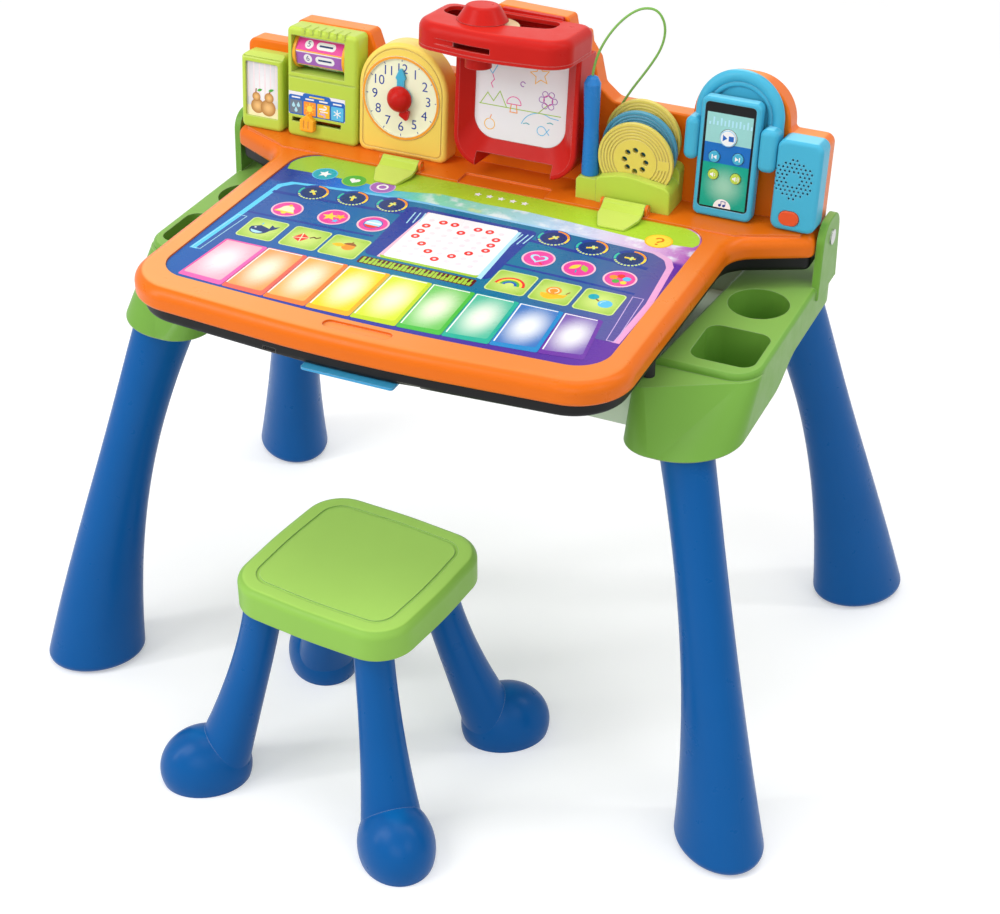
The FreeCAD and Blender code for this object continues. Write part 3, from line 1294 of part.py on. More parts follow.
def make_pen():
    """Pen turned about its own axis: tip, grip, body and domed top."""
    shoulder_z = CUP_TOP_Z + RUNNING_GAP
    outline = [
        (0.0, PEN_TIP_Z),
        (1.4, PEN_TIP_Z),
        (PEN_GRIP_RADIUS, PEN_TIP_Z + 9),
        (PEN_GRIP_RADIUS, shoulder_z),
        (PEN_RADIUS + 0.4, shoulder_z),
        (PEN_RADIUS + 0.4, shoulder_z + 4),
        (PEN_RADIUS - 1.0, shoulder_z + 45),
        (PEN_RADIUS, PEN_TOP_Z - 16),
        (PEN_RADIUS, PEN_TOP_Z - 7),
        (PEN_RADIUS - 2.6, PEN_TOP_Z - 1.6),
        (2.2, PEN_TOP_Z),
        (0.0, PEN_TOP_Z),
    ]
    points = [Vector(PEN_X + r, PEN_Y, z) for r, z in outline]
    face = Part.Face(Part.makePolygon(points + points[:1]))
    return face.revolve(Vector(PEN_X, PEN_Y, 0), UP, 360)


def make_gland():
    ring = rod((GLAND_X, GLAND_Y, CUP_TOP_Z), UP, GLAND_RADIUS, GLAND_TOP_Z - CUP_TOP_Z)
    neck = rod((GLAND_X, GLAND_Y, CUP_TOP_Z - 5), UP, GLAND_RADIUS - 0.8, 5.0)
    return ring.fuse(neck)


def make_cord():
    """Tube of straight runs joined by tangent arcs."""
    points = [Vector(*point) for point in CORD_ROUTE]
    edges = []
    previous = points[0]
    radii = []
    for index in range(1, len(points) - 1):
        here = points[index]
        before = points[index - 1] - here
        after = points[index + 1] - here
        shorter = min(before.Length, after.Length)
        half_angle = before.getAngle(after) / 2
        reach = 0.45 * shorter
        radius = reach * math.tan(half_angle)
        radii.append(radius)
        before.normalize()
        after.normalize()
        inward = (before + after).normalize()
        first = here + before * reach
        last = here + after * reach
        middle = here + inward * (radius / math.sin(half_angle) - radius)
        edges.append(Part.LineSegment(previous, first).toShape())
        edges.append(Part.Arc(first, middle, last).toShape())
        previous = last
    edges.append(Part.LineSegment(previous, points[-1]).toShape())
    path = Part.Wire(edges)
    start = points[0]
    direction = (points[1] - points[0]).normalize()
    section = Part.Wire(Part.Circle(start, direction, CORD_RADIUS).toShape())
    tube = path.makePipeShell([section], True, False)
    length = sum(edge.Length for edge in edges)
    print("cord length", round(length, 1), "radii", [round(radius, 1) for radius in radii])
    print("cord volume", round(tube.Volume, 1), "of", round(length * math.pi * CORD_RADIUS ** 2, 1))
    return tube


# Music player, headphones and speaker

SCREEN_D = 0.6
BUTTON_FRONT_D = SCREEN_D - BUTTON_PROUD
ROUND_BUTTONS = {
    "play_button": (203.0, 74.4, 7.5),
    "back_button": (192.0, 56.3, 5.0),
    "skip_button": (213.5, 57.3, 5.0),
    "quieter_button": (192.5, 40.2, 4.6),
    "louder_button": (213.0, 39.4, 4.6),
}


def make_player_case():
    body = panel(rectangle(PLAYER_X, (1.0, PLAYER_TOP), 6.0), 0.0, PLAYER_DEPTH)
    body = round_edges(body, 1, 0.0, 3.0)
    body = body.cut(panel(rectangle(SCREEN_X, SCREEN_H, 4.0), -1.0, SCREEN_D + SCREEN_THICKNESS))
    pocket_depth = BUTTON_FRONT_D + BUTTON_LENGTH + BUTTON_TRAVEL + RUNNING_GAP
    for x, h, radius in ROUND_BUTTONS.values():
        body = body.cut(rod((x, 0.0, h), BACK, radius + RUNNING_GAP, pocket_depth))
    return above_ledge(lean(body))


def make_player_screen():
    screen = panel(rectangle(SCREEN_X, SCREEN_H, 4.0), SCREEN_D, SCREEN_D + SCREEN_THICKNESS)
    for x, h, radius in ROUND_BUTTONS.values():
        screen = screen.cut(rod((x, -1.0, h), BACK, radius + RUNNING_GAP, 9.0))
    return lean(screen)


def make_round_button(x, h, radius):
    button = rod((x, BUTTON_FRONT_D, h), BACK, radius, BUTTON_LENGTH)
    return lean(round_edges(button, 1, BUTTON_FRONT_D, 0.5))


def make_headphones():
    """Headphones behind the player: a round band over a thinner pad, and two ear cups."""
    depth = (PLAYER_DEPTH, MODULE_DEPTH)
    middle_d = MODULE_DEPTH - BAND_RADIUS
    arch = HEADPHONE_RADIUS - BAND_RADIUS
    back = panel([
        (HEADPHONE_X - arch, CUP_H[0] + 6, 3.0),
        (HEADPHONE_X + arch, CUP_H[0] + 6, 3.0),
        (HEADPHONE_X + arch, HEADPHONE_TOP - BAND_RADIUS, arch - 0.5),
        (HEADPHONE_X - arch, HEADPHONE_TOP - BAND_RADIUS, arch - 0.5),
    ], middle_d, MODULE_DEPTH)
    stand = box((PLAYER_X[0] + 5, PLAYER_X[1] - 5), depth, (0.0, CUP_H[0] + 14))
    pieces = [stand, arched_tube(arch, BAND_RADIUS, middle_d)]
    pieces.append(arched_tube(arch - BAND_RADIUS - 1, BAND_PAD_RADIUS, middle_d))
    left = HEADPHONE_X - HEADPHONE_RADIUS - CUP_OVERHANG
    right = SPEAKER_X[0] - 2 * RUNNING_GAP
    for x in ((left, PLAYER_X[0] - RUNNING_GAP), (PLAYER_X[1] + RUNNING_GAP, right)):
        cup = panel(rectangle(x, CUP_H, 6.4), CUP_FRONT_D, middle_d + 2)
        pieces.append(round_edges(cup, 1, CUP_FRONT_D, 5.6))
    return above_ledge(lean(back.fuse(pieces)))


def arched_tube(arch, radius, d):
    """Round tube that runs up one side, over in a half circle and down the other."""
    centre = Vector(HEADPHONE_X, d, HEADPHONE_TOP - HEADPHONE_RADIUS)
    over = Part.makeTorus(arch, radius, centre, BACK)
    over = over.cut(box((-FAR, FAR), (-FAR, FAR), (-FAR, centre.z)))
    foot = CUP_H[0] + 12
    sides = [rod((centre.x + x, d, foot), UP, radius, centre.z - foot) for x in (-arch, arch)]
    return over.fuse(sides)


def make_speaker_case():
    body = panel(rectangle(SPEAKER_X, (1.0, SPEAKER_TOP), 8.0), 0.0, MODULE_DEPTH)
    body = round_edges(body, 1, 0.0, CASE_ROUND)
    inner = (SPEAKER_X[0] + CASE_WALL, SPEAKER_X[1] - CASE_WALL)
    cavity = panel(rectangle(inner, (4.0, SPEAKER_TOP - CASE_WALL), 5.0), CASE_WALL, MODULE_DEPTH + 1)
    body = body.cut(cavity)
    holes = [rod((x, -1.0, h), BACK, GRILLE_HOLE_RADIUS, CASE_WALL + 2) for x, h in grille_points()]
    body = body.cut(Part.makeCompound(holes))
    return above_ledge(lean(body.cut(pill(RUNNING_GAP, -1.0, CASE_WALL + 1))))


def grille_points():
    """Places of the grille's holes: staggered rows inside a ring round a plain middle."""
    row_height = GRILLE_PITCH * math.sqrt(3) / 2
    reach = math.ceil(GRILLE_RING[1] / row_height)
    points = []
    for row in range(-reach, reach + 1):
        for column in range(-reach, reach + 1):
            x = (column + (row % 2) / 2) * GRILLE_PITCH
            h = row * row_height
            if GRILLE_RING[0] < math.hypot(x, h) < GRILLE_RING[1]:
                points.append((GRILLE_X + x, GRILLE_H + h))
    return points


def pill(grow, front, rear):
    half_width = PILL_WIDTH / 2 + grow
    half_height = PILL_HEIGHT / 2 + grow
    return panel(rectangle((GRILLE_X - half_width, GRILLE_X + half_width),
                           (PILL_H - half_height, PILL_H + half_height), half_height - 0.2), front, rear)


def make_speaker_button():
    cap = round_edges(pill(0.0, -BUTTON_PROUD, CASE_WALL + 3), 1, -BUTTON_PROUD, 1.2)
    return lean(cap)


def make_speaker_driver():
    rim = GRILLE_X - SPEAKER_X[0] - CASE_WALL - RUNNING_GAP
    basket = Part.makeCone(rim, rim * 0.6, 9.0, Vector(GRILLE_X, CASE_WALL, GRILLE_H), BACK)
    cone = Part.makeCone(rim - 2.5, rim * 0.35, 5.0, Vector(GRILLE_X, CASE_WALL, GRILLE_H), BACK)
    magnet = rod((GRILLE_X, CASE_WALL + 9, GRILLE_H), BACK, rim * 0.6, 6.0)
    return lean(basket.fuse(magnet).cut(cone))


# Stool

def seat_outline(inset):
    half_x = SEAT_HALF[0] - inset
    half_y = SEAT_HALF[1] - inset
    bulge = SEAT_SIDE_BULGE
    corner = SEAT_CORNER - inset
    return [
        (-half_x, -half_y, corner),
        (0.0, -half_y - bulge, 500.0),
        (half_x, -half_y, corner),
        (half_x + bulge, 0.0, 500.0),
        (half_x, half_y, corner),
        (0.0, half_y + bulge, 500.0),
        (-half_x, half_y, corner),
        (-half_x - bulge, 0.0, 500.0),
    ]


def on_stool(shape):
    placed = shape.copy()
    placed.rotate(Vector(0, 0, 0), UP, STOOL_YAW)
    placed.translate(Vector(STOOL_X, STOOL_Y, 0))
    return placed


def make_stool_seat():
    """Seat with a raised panel, hollow below, with a socket over each leg."""
    low = SEAT_TOP_Z - SEAT_HEIGHT
    seat = plate(seat_outline(0.0), low, SEAT_TOP_Z)
    seat = round_edges(seat, 2, SEAT_TOP_Z, SEAT_ROUND)
    groove = plate(seat_outline(16.0), SEAT_TOP_Z - 1.2, SEAT_TOP_Z + 1)
    groove = groove.cut(plate(seat_outline(19.0), SEAT_TOP_Z - 2, SEAT_TOP_Z + 2))
    seat = seat.cut(groove)
    hollow = plate(seat_outline(SEAT_WALL), low - 1, SEAT_TOP_Z - SEAT_WALL - 1.2)
    seat = seat.cut(hollow)
    seat.translate(Vector(*SEAT_OFFSET, 0))
    socket_low = low + LEG_SOCKET_INSET
    height = SEAT_TOP_Z - SEAT_WALL - socket_low
    for x in (-STOOL_LEG_TOP[0], STOOL_LEG_TOP[0]):
        for y in (-STOOL_LEG_TOP[1], STOOL_LEG_TOP[1]):
            seat = seat.fuse(rod((x, y, socket_low), UP, STOOL_TENON_RADIUS + 3, height))
            seat = seat.cut(rod((x, y, socket_low), UP, STOOL_TENON_RADIUS, height - 3))
            seat = seat.cut(rod((x, y, low - 1), UP, STOOL_LEG_RADIUS + 1, LEG_SOCKET_INSET + 1))
    return on_stool(seat)


def make_bulb():
    """Oval foot, flat where it stands on the floor."""
    ball = Part.makeSphere(BULB_HEIGHT)
    stretch = Matrix()
    stretch.scale(BULB_AXES[0] / BULB_HEIGHT, BULB_AXES[1] / BULB_HEIGHT, 1.0)
    bulb = ball.transformGeometry(stretch)
    bulb.rotate(Vector(0, 0, 0), UP, math.degrees(math.atan2(STOOL_FOOT[1], STOOL_FOOT[0])))
    bulb.translate(Vector(STOOL_FOOT[0], STOOL_FOOT[1], BULB_Z))
    return bulb.cut(box((-FAR, FAR), (-FAR, FAR), (-FAR, FLOOR_Z)))


def make_stool_leg():
    """One leg: a round tube that widens and curves outward into its oval foot."""
    top_z = SEAT_TOP_Z - SEAT_HEIGHT + LEG_SOCKET_INSET
    low_z = BULB_Z + 2
    top = Vector(*STOOL_LEG_TOP, 0)
    foot = Vector(*STOOL_FOOT, 0)
    ankle = foot + (top - foot).normalize() * STOOL_FOOT_LAG
    sections = []
    for step in range(7):
        part = step / 6
        centre = ankle + (top - ankle) * (1 - (1 - part) ** 1.35)
        centre.z = low_z + (top_z - low_z) * part
        radius = STOOL_LEG_RADIUS + STOOL_LEG_FLARE * (1 - part) ** 2.4
        sections.append(Part.Wire(Part.Circle(centre, UP, radius).toShape()))
    tube = Part.makeLoft(sections, True, False)
    tenon = rod((top.x, top.y, top_z), UP, STOOL_TENON_RADIUS, SEAT_TOP_Z - SEAT_WALL - 3 - top_z)
    return make_bulb().fuse([tube, tenon])


def make_stool_legs():
    leg = make_stool_leg()
    legs = []
    for sign_x in (1, -1):
        for sign_y in (1, -1):
            turned = leg
            if sign_x < 0:
                turned = turned.mirror(Vector(0, 0, 0), RIGHT)
            if sign_y < 0:
                turned = turned.mirror(Vector(0, 0, 0), BACK)
            legs.append(turned)
    return on_stool(Part.makeCompound(legs))


def make_touch_page():
    return plate(page_outline(0.0), PAGE_SEAT_Z, PAGE_Z)


os.makedirs("parts", exist_ok=True)

caddy = make_caddy()
save("caddy_right", caddy)
save("caddy_left", mirrored(caddy))
save("storage_tray", make_storage_tray())
save("rest_pads", make_rest_pads())
save("hinge_pins", make_hinge_pins())
front_leg = make_leg(FRONT_LEG)
rear_leg = make_leg(REAR_LEG)
save("leg_front_right", front_leg)
save("leg_front_left", mirrored(front_leg))
save("leg_rear_right", rear_leg)
save("leg_rear_left", mirrored(rear_leg))

save("lid_shell", make_lid_shell())
save("lid_pan", make_lid_pan())
save("chalk_board", make_chalk_board())
save("battery_box", make_battery_box())
save("circuit_board", make_circuit_board())
save("front_grip", make_front_grip())
save("touch_page", make_touch_page())
for clip_name, clip_span in CLIP_SPANS.items():
    save(clip_name, make_clip(clip_span))

save("back_panel", make_back_panel())
save("back_cover", make_back_cover())
save("back_screws", make_back_screws())
save("photo_frame", make_photo_frame())
save("photo_card", make_photo_card())
save("calendar_case", make_calendar_case())
save("weather_label", make_weather_label())
save("day_drum", make_day_drum())
save("weather_slider", make_weather_slider())
save("clock_case", make_clock_case())
save("clock_dial", make_clock_dial())
save("clock_spindle", make_clock_spindle())
save("minute_hand", make_minute_hand())
save("hour_hand", make_hour_hand())

save("projector_frame", make_projector_frame())
save("picture_screen", make_picture_screen())
save("projector_head", make_projector_head())
save("head_cover", make_head_cover())
save("lens_barrel", make_lens_barrel())
save("projector_knob", make_projector_knob())
save("picture_disc", make_picture_disc())

save("disc_holder", make_disc_holder())
for disc_index, disc_name in enumerate(("disc_front", "disc_middle", "disc_rear")):
    save(disc_name, make_disc(disc_index))
save("stencil_pen", make_pen())
save("cord_gland", make_gland())
save("pen_cord", make_cord())

save("player_case", make_player_case())
save("player_screen", make_player_screen())
for button_name, button_place in ROUND_BUTTONS.items():
    save(button_name, make_round_button(*button_place))
save("headphones", make_headphones())
save("speaker_case", make_speaker_case())
save("speaker_button", make_speaker_button())
save("speaker_driver", make_speaker_driver())

save("stool_seat", make_stool_seat())
save("stool_legs", make_stool_legs())
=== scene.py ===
import math

import bmesh
import bpy
from mathutils import Matrix, Vector


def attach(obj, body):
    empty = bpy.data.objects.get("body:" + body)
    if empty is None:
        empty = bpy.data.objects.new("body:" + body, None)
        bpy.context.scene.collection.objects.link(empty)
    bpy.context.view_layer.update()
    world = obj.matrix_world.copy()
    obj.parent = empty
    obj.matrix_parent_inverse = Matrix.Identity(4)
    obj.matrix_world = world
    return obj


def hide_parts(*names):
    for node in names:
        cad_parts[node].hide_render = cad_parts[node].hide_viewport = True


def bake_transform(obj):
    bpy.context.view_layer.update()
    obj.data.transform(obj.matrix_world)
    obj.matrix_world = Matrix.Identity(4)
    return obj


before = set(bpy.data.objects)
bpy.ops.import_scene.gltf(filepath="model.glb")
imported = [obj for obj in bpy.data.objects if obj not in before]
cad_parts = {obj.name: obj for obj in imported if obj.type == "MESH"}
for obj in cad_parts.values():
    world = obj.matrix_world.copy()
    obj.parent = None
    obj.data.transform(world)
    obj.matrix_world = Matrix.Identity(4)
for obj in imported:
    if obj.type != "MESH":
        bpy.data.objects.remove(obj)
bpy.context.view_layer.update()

MM = 0.001

# Where the page and the back wall lie, in millimetres, as in the part's source
REAR_SHIFT = -77.8
PAGE_TOP = 458.6
PAGE_HALF_WIDTH = 202.0
WALL_FOOT_Y = 206.0
WALL_FOOT_Z = 461.0
WALL_LEAN = math.atan(0.105)


# Places that the prints and small pieces lie on

def plane_matrix(origin, across, up):
    """Millimetres across, up and out of a flat face, turned into metres in the frame."""
    across = Vector(across).normalized()
    up = Vector(up).normalized()
    out = across.cross(up)
    matrix = Matrix((across, up, out)).transposed() * MM
    return Matrix.Translation(Vector(origin) * MM) @ matrix.to_4x4()


def wall_point(x, height, depth):
    """A point of the leaning back wall, in millimetres in the frame."""
    y = WALL_FOOT_Y + depth * math.cos(WALL_LEAN) + height * math.sin(WALL_LEAN) + REAR_SHIFT
    z = WALL_FOOT_Z - depth * math.sin(WALL_LEAN) + height * math.cos(WALL_LEAN)
    return Vector((x, y, z))


def wall_plane(depth):
    """The leaning plane at one depth, with x across and height up it."""
    return plane_matrix(
        wall_point(0, 0, depth),
        (1, 0, 0),
        (0, math.sin(WALL_LEAN), math.cos(WALL_LEAN)),
    )


PAGE = plane_matrix((0, REAR_SHIFT, PAGE_TOP), (1, 0, 0), (0, 1, 0))


# Flat shapes, each a list of faces, and each face a list of points in millimetres

CORNER_STEPS = 6


def disc(x, y, radius, points=40):
    turn = 2 * math.pi / points
    return [[(x + radius * math.cos(i * turn), y + radius * math.sin(i * turn)) for i in range(points)]]


def polygon(*points):
    return [list(points)]


def tile(x, y, width, height, radius=2.0):
    """A rectangle with rounded corners about a middle point."""
    outline = []
    for corner, (sx, sy) in enumerate(((1, 1), (-1, 1), (-1, -1), (1, -1))):
        for step in range(CORNER_STEPS + 1):
            angle = math.pi / 2 * (corner + step / CORNER_STEPS)
            outline.append((
                x + sx * (width / 2 - radius) + radius * math.cos(angle),
                y + sy * (height / 2 - radius) + radius * math.sin(angle),
            ))
    return [outline]


def arc_points(x, y, radius, start, end, points=24):
    """Points on an arc, with its angles in degrees."""
    found = []
    for i in range(points + 1):
        angle = math.radians(start + (end - start) * i / points)
        found.append((x + radius * math.cos(angle), y + radius * math.sin(angle)))
    return found


def stroke(points, width, closed=False):
    """A flat line of one width along points, with mitred joins."""
    count = len(points)
    sides = []
    for i, here in enumerate(points):
        here = Vector(here)
        before = Vector(points[(i - 1) % count]) if closed or i > 0 else None
        after = Vector(points[(i + 1) % count]) if closed or i < count - 1 else None
        into = (here - before).normalized() if before is not None else None
        out = (after - here).normalized() if after is not None else None
        along = (into or out) + (out or into)
        if along.length < 1e-6:
            along = into
        along.normalize()
        side = Vector((-along.y, along.x))
        reach = 1.0
        if into is not None and out is not None:
            reach = 1 / max(0.5, abs(side.dot(Vector((-out.y, out.x)))))
        sides.append((here + side * width / 2 * reach, here - side * width / 2 * reach))
    faces = []
    for i in range(count if closed else count - 1):
        a, b = sides[i], sides[(i + 1) % count]
        faces.append([tuple(a[1]), tuple(b[1]), tuple(b[0]), tuple(a[0])])
    return faces


def ring(x, y, radius, width, start=0, end=360):
    if end - start >= 360:
        return stroke(arc_points(x, y, radius, 0, 360, 40)[:-1], width, closed=True)
    return stroke(arc_points(x, y, radius, start, end), width)


def moved(shape, x, y, scale=1.0, turn=0.0):
    """The same shape turned, scaled and put about another point."""
    c, s = math.cos(math.radians(turn)) * scale, math.sin(math.radians(turn)) * scale
    return [[(x + u * c - v * s, y + u * s + v * c) for u, v in face] for face in shape]


# Meshes from flat shapes

PRINT_STEP = 0.03
PRINT_THICKNESS = 0.05


def add_object(name, data):
    made = bpy.data.objects.new(name, data)
    bpy.context.scene.collection.objects.link(made)
    return made


def flat_key(point):
    """Points that are nearly the same have the same key."""
    return round(point[0], 4), round(point[1], 4)


def add_layer(mesh, uv, faces, low, high, index):
    """Raises one flat shape between two heights, as a closed solid."""
    corners = {}

    def corner(point, height):
        key = (*flat_key(point), height)
        if key not in corners:
            corners[key] = mesh.verts.new((point[0], point[1], height))
        return corners[key]

    edges = {}
    made = []
    for face in faces:
        area = sum(a[0] * b[1] - b[0] * a[1] for a, b in zip(face, face[1:] + face[:1]))
        around = face if area > 0 else face[::-1]
        keys = [flat_key(p) for p in around]
        around = [p for i, p in enumerate(around) if keys[i] != keys[i - 1]]
        made.append(mesh.faces.new([corner(p, high) for p in around]))
        made.append(mesh.faces.new([corner(p, low) for p in reversed(around)]))
        for a, b in zip(around, around[1:] + around[:1]):
            edges[(flat_key(a), flat_key(b))] = (a, b)
    for (ka, kb), (a, b) in edges.items():
        if (kb, ka) not in edges:
            made.append(mesh.faces.new([corner(a, low), corner(b, low), corner(b, high), corner(a, high)]))
    xs = [p[0] for face in faces for p in face]
    ys = [p[1] for face in faces for p in face]
    width = max(xs) - min(xs)
    height = max(ys) - min(ys)
    for face in made:
        face.material_index = index
        for loop in face.loops:
            loop[uv].uv = ((loop.vert.co.x - min(xs)) / width, (loop.vert.co.y - min(ys)) / height)


def printed_piece(name, place, layers, body, first_height=0.0):
    """A thin print on a flat face: layers is a list of (shape, name of an ink, or a material)."""
    mesh = bmesh.new()
    uv = mesh.loops.layers.uv.new("print")
    data = bpy.data.meshes.new(name)
    materials = []
    for level, (shape, finish) in enumerate(layers):
        material = INK[finish] if isinstance(finish, str) else finish
        if material not in materials:
            materials.append(material)
            data.materials.append(material)
        high = first_height + PRINT_THICKNESS + PRINT_STEP * level
        add_layer(mesh, uv, shape, first_height, high, materials.index(material))
    mesh.transform(place)
    mesh.to_mesh(data)
    mesh.free()
    piece = add_object(name, data)
    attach(piece, body)


# Nodes of a material or a group, one call for each

def fill_sockets(tree, made, sockets):
    """Gives inputs, named or numbered as i0, i1 and on, a value or another node's output."""
    for name, value in sockets.items():
        socket = made.inputs[int(name[1:])] if name[1:].isdigit() else made.inputs[name.replace("_", " ")]
        if isinstance(value, bpy.types.NodeSocket):
            tree.links.new(value, socket)
        else:
            socket.default_value = value
    return made


def node(tree, kind, **sockets):
    return fill_sockets(tree, tree.nodes.new(kind), sockets)


def group_node(tree, group, **sockets):
    made = tree.nodes.new("ShaderNodeGroup")
    made.node_tree = group
    return fill_sockets(tree, made, sockets)


def maths(tree, operation, first, second=0.0, clamp=False):
    made = node(tree, "ShaderNodeMath", i0=first, i1=second)
    made.operation = operation
    made.use_clamp = clamp
    return made.outputs[0]


def vector_maths(tree, operation, first, second=(0.0, 0.0, 0.0)):
    made = node(tree, "ShaderNodeVectorMath", i0=first, i1=second)
    made.operation = operation
    return made.outputs


def mix_colour(tree, share, first, second, way="MIX"):
    made = tree.nodes.new("ShaderNodeMix")
    made.data_type = "RGBA"
    made.blend_type = way
    return fill_sockets(tree, made, {"i0": share, "i6": first, "i7": second}).outputs[2]


def grey(tree, shade):
    return node(tree, "ShaderNodeCombineColor", i0=shade, i1=shade, i2=shade).outputs[0]


def spread(tree, value, low, high, to_low=0.0, to_high=1.0, smooth=True):
    """Maps a value between two limits to another span."""
    made = node(tree, "ShaderNodeMapRange", i0=value, i1=low, i2=high, i3=to_low, i4=to_high)
    made.interpolation_type = "SMOOTHSTEP" if smooth else "LINEAR"
    return made.outputs[0]


def noise(tree, vector, scale, detail=2.0, roughness=0.5):
    made = node(tree, "ShaderNodeTexNoise", Vector=vector, Scale=scale, Detail=detail, Roughness=roughness)
    return made.outputs["Fac"]


def solid(colour):
    return (colour[0], colour[1], colour[2], 1.0)


def ramp(tree, value, stops):
    """A colour ramp with (place, colour) stops."""
    made = node(tree, "ShaderNodeValToRGB", Fac=value)
    colours = made.color_ramp.elements
    while len(colours) < len(stops):
        colours.new(0.5)
    for element, (place, colour) in zip(colours, stops):
        element.position = place
    for element, (place, colour) in zip(colours, stops):
        element.color = solid(colour)
    return made.outputs["Color"]


def place_in_frame(tree):
    return node(tree, "ShaderNodeTexCoord").outputs["Object"]


def axes_of(tree, vector):
    return node(tree, "ShaderNodeSeparateXYZ", i0=vector).outputs


def new_group(name, inputs, outputs):
    """An empty node group with named sockets, each (name, kind, value)."""
    group = bpy.data.node_groups.new(name, "ShaderNodeTree")
    for title, kind, value in inputs:
        socket = group.interface.new_socket(title, in_out="INPUT", socket_type=kind)
        socket.default_value = value
    for title, kind in outputs:
        group.interface.new_socket(title, in_out="OUTPUT", socket_type=kind)
    return group, group.nodes.new("NodeGroupInput"), group.nodes.new("NodeGroupOutput")


COLOUR, NUMBER, DIRECTION = "NodeSocketColor", "NodeSocketFloat", "NodeSocketVector"
SKIN_OUTPUTS = (("Colour", COLOUR), ("Roughness", NUMBER), ("Normal", DIRECTION))
EDGE_ROUNDING = 0.0011


def put_out(group, result, colour, rough, bump):
    """Links what a group gives to a material."""
    group.links.new(colour, result.inputs["Colour"])
    group.links.new(rough, result.inputs["Roughness"])
    group.links.new(bump.outputs["Normal"], result.inputs["Normal"])
    return group


def make_moulded_skin():
    """Injection moulded plastic: mottled colour, flat tops painted paler as if lit from above, edges
    painted pale as a highlight with a little wear, fine spark grain.
    """
    group, given, result = new_group(
        "moulded skin",
        (
            ("Colour", COLOUR, (0.5, 0.5, 0.5, 1)),
            ("Top Colour", COLOUR, (0.6, 0.6, 0.6, 1)),
            ("Top Share", NUMBER, 0.5),
            ("Edge Share", NUMBER, 0.2),
            ("Grain Scale", NUMBER, 1500.0),
            ("Grain Depth", NUMBER, 0.1),
            ("Roughness", NUMBER, 0.35),
        ),
        SKIN_OUTPUTS,
    )
    spot = place_in_frame(group)
    rounded = node(group, "ShaderNodeBevel", Radius=EDGE_ROUNDING)
    rounded.samples = 4
    rounded_normal = rounded.outputs["Normal"]
    flat = node(group, "ShaderNodeNewGeometry").outputs["True Normal"]
    turned = vector_maths(group, "DOT_PRODUCT", rounded_normal, flat)["Value"]
    edge = spread(group, turned, 0.995, 0.8)
    # Painted top light: faces turned up take the paler top colour, as if lit from above
    up = axes_of(group, node(group, "ShaderNodeTexCoord").outputs["Normal"])["Z"]
    top = maths(group, "MULTIPLY", spread(group, up, 0.9, 0.995), given.outputs["Top Share"])
    colour = mix_colour(group, top, given.outputs["Colour"], given.outputs["Top Colour"])
    cloudy = noise(group, spot, 14.0, 3.0)
    shade = spread(group, cloudy, 0.3, 0.7, 0.985, 1.012)
    colour = mix_colour(group, 1.0, colour, grey(group, shade), "MULTIPLY")
    # Painted edge highlight, partly edge wear: sharp edges are mixed toward a warm white
    edge_wear_and_highlight = maths(group, "MULTIPLY", edge, given.outputs["Edge Share"])
    colour = mix_colour(group, edge_wear_and_highlight, colour, (1.0, 0.97, 0.92, 1))
    rub = noise(group, spot, 45.0, 5.0, 0.65)
    rough = maths(group, "ADD", given.outputs["Roughness"], spread(group, rub, 0.3, 0.75, -0.03, 0.07))
    bump = node(
        group,
        "ShaderNodeBump",
        Strength=given.outputs["Grain Depth"],
        Distance=0.0002,
        Height=noise(group, spot, given.outputs["Grain Scale"], 1.0),
        Normal=rounded_normal,
    )
    return put_out(group, result, colour, rough, bump)


def make_printed_film():
    """Printed film: slight ink mottle and a soft wave in the gloss."""
    group, given, result = new_group(
        "printed film",
        (("Colour", COLOUR, (0.5, 0.5, 0.5, 1)), ("Roughness", NUMBER, 0.28), ("Mottle", NUMBER, 1.0)),
        SKIN_OUTPUTS,
    )
    spot = place_in_frame(group)
    fine = noise(group, spot, 2600.0, 2.0)
    shade = spread(group, fine, 0.25, 0.75, -0.035, 0.035)
    shade = maths(group, "ADD", maths(group, "MULTIPLY", shade, given.outputs["Mottle"]), 1.0)
    colour = mix_colour(group, 1.0, given.outputs["Colour"], grey(group, shade), "MULTIPLY")
    wave = noise(group, spot, 60.0, 2.0)
    rough = maths(group, "ADD", given.outputs["Roughness"], spread(group, wave, 0.3, 0.7, -0.03, 0.05))
    bump = node(group, "ShaderNodeBump", Strength=0.05, Distance=0.0003, Height=wave)
    return put_out(group, result, colour, rough, bump)


def make_soft_glow():
    """A printed glow: one colour in the middle of a shape that fades to another at its rim."""
    group, given, result = new_group(
        "soft glow",
        (("Rim", COLOUR, (0.5, 0.5, 0.5, 1)), ("Middle", COLOUR, (1, 1, 1, 1)), ("Reach", NUMBER, 0.6)),
        (("Colour", COLOUR),),
    )
    uv = node(group, "ShaderNodeUVMap")
    uv.uv_map = "print"
    centred = vector_maths(group, "SUBTRACT", uv.outputs["UV"], (0.5, 0.5, 0.0))["Vector"]
    length = vector_maths(group, "LENGTH", centred)["Value"]
    share = spread(group, length, 0.02, given.outputs["Reach"], 1.0, 0.0)
    colour = mix_colour(group, share, given.outputs["Rim"], given.outputs["Middle"])
    group.links.new(colour, result.inputs["Colour"])
    return group


MOULDED_SKIN = make_moulded_skin()
PRINTED_FILM = make_printed_film()
SOFT_GLOW = make_soft_glow()


def new_material(name):
    material = bpy.data.materials.new(name)
    material.use_nodes = True
    tree = material.node_tree
    return material, tree, tree.nodes["Principled BSDF"]


def link_skin(tree, shader, skin, gloss=0.2):
    """Puts a skin's colour, roughness and normal on the shader."""
    tree.links.new(skin.outputs["Colour"], shader.inputs["Base Color"])
    tree.links.new(skin.outputs["Roughness"], shader.inputs["Roughness"])
    tree.links.new(skin.outputs["Normal"], shader.inputs["Normal"])
    shader.inputs["Specular IOR Level"].default_value = gloss


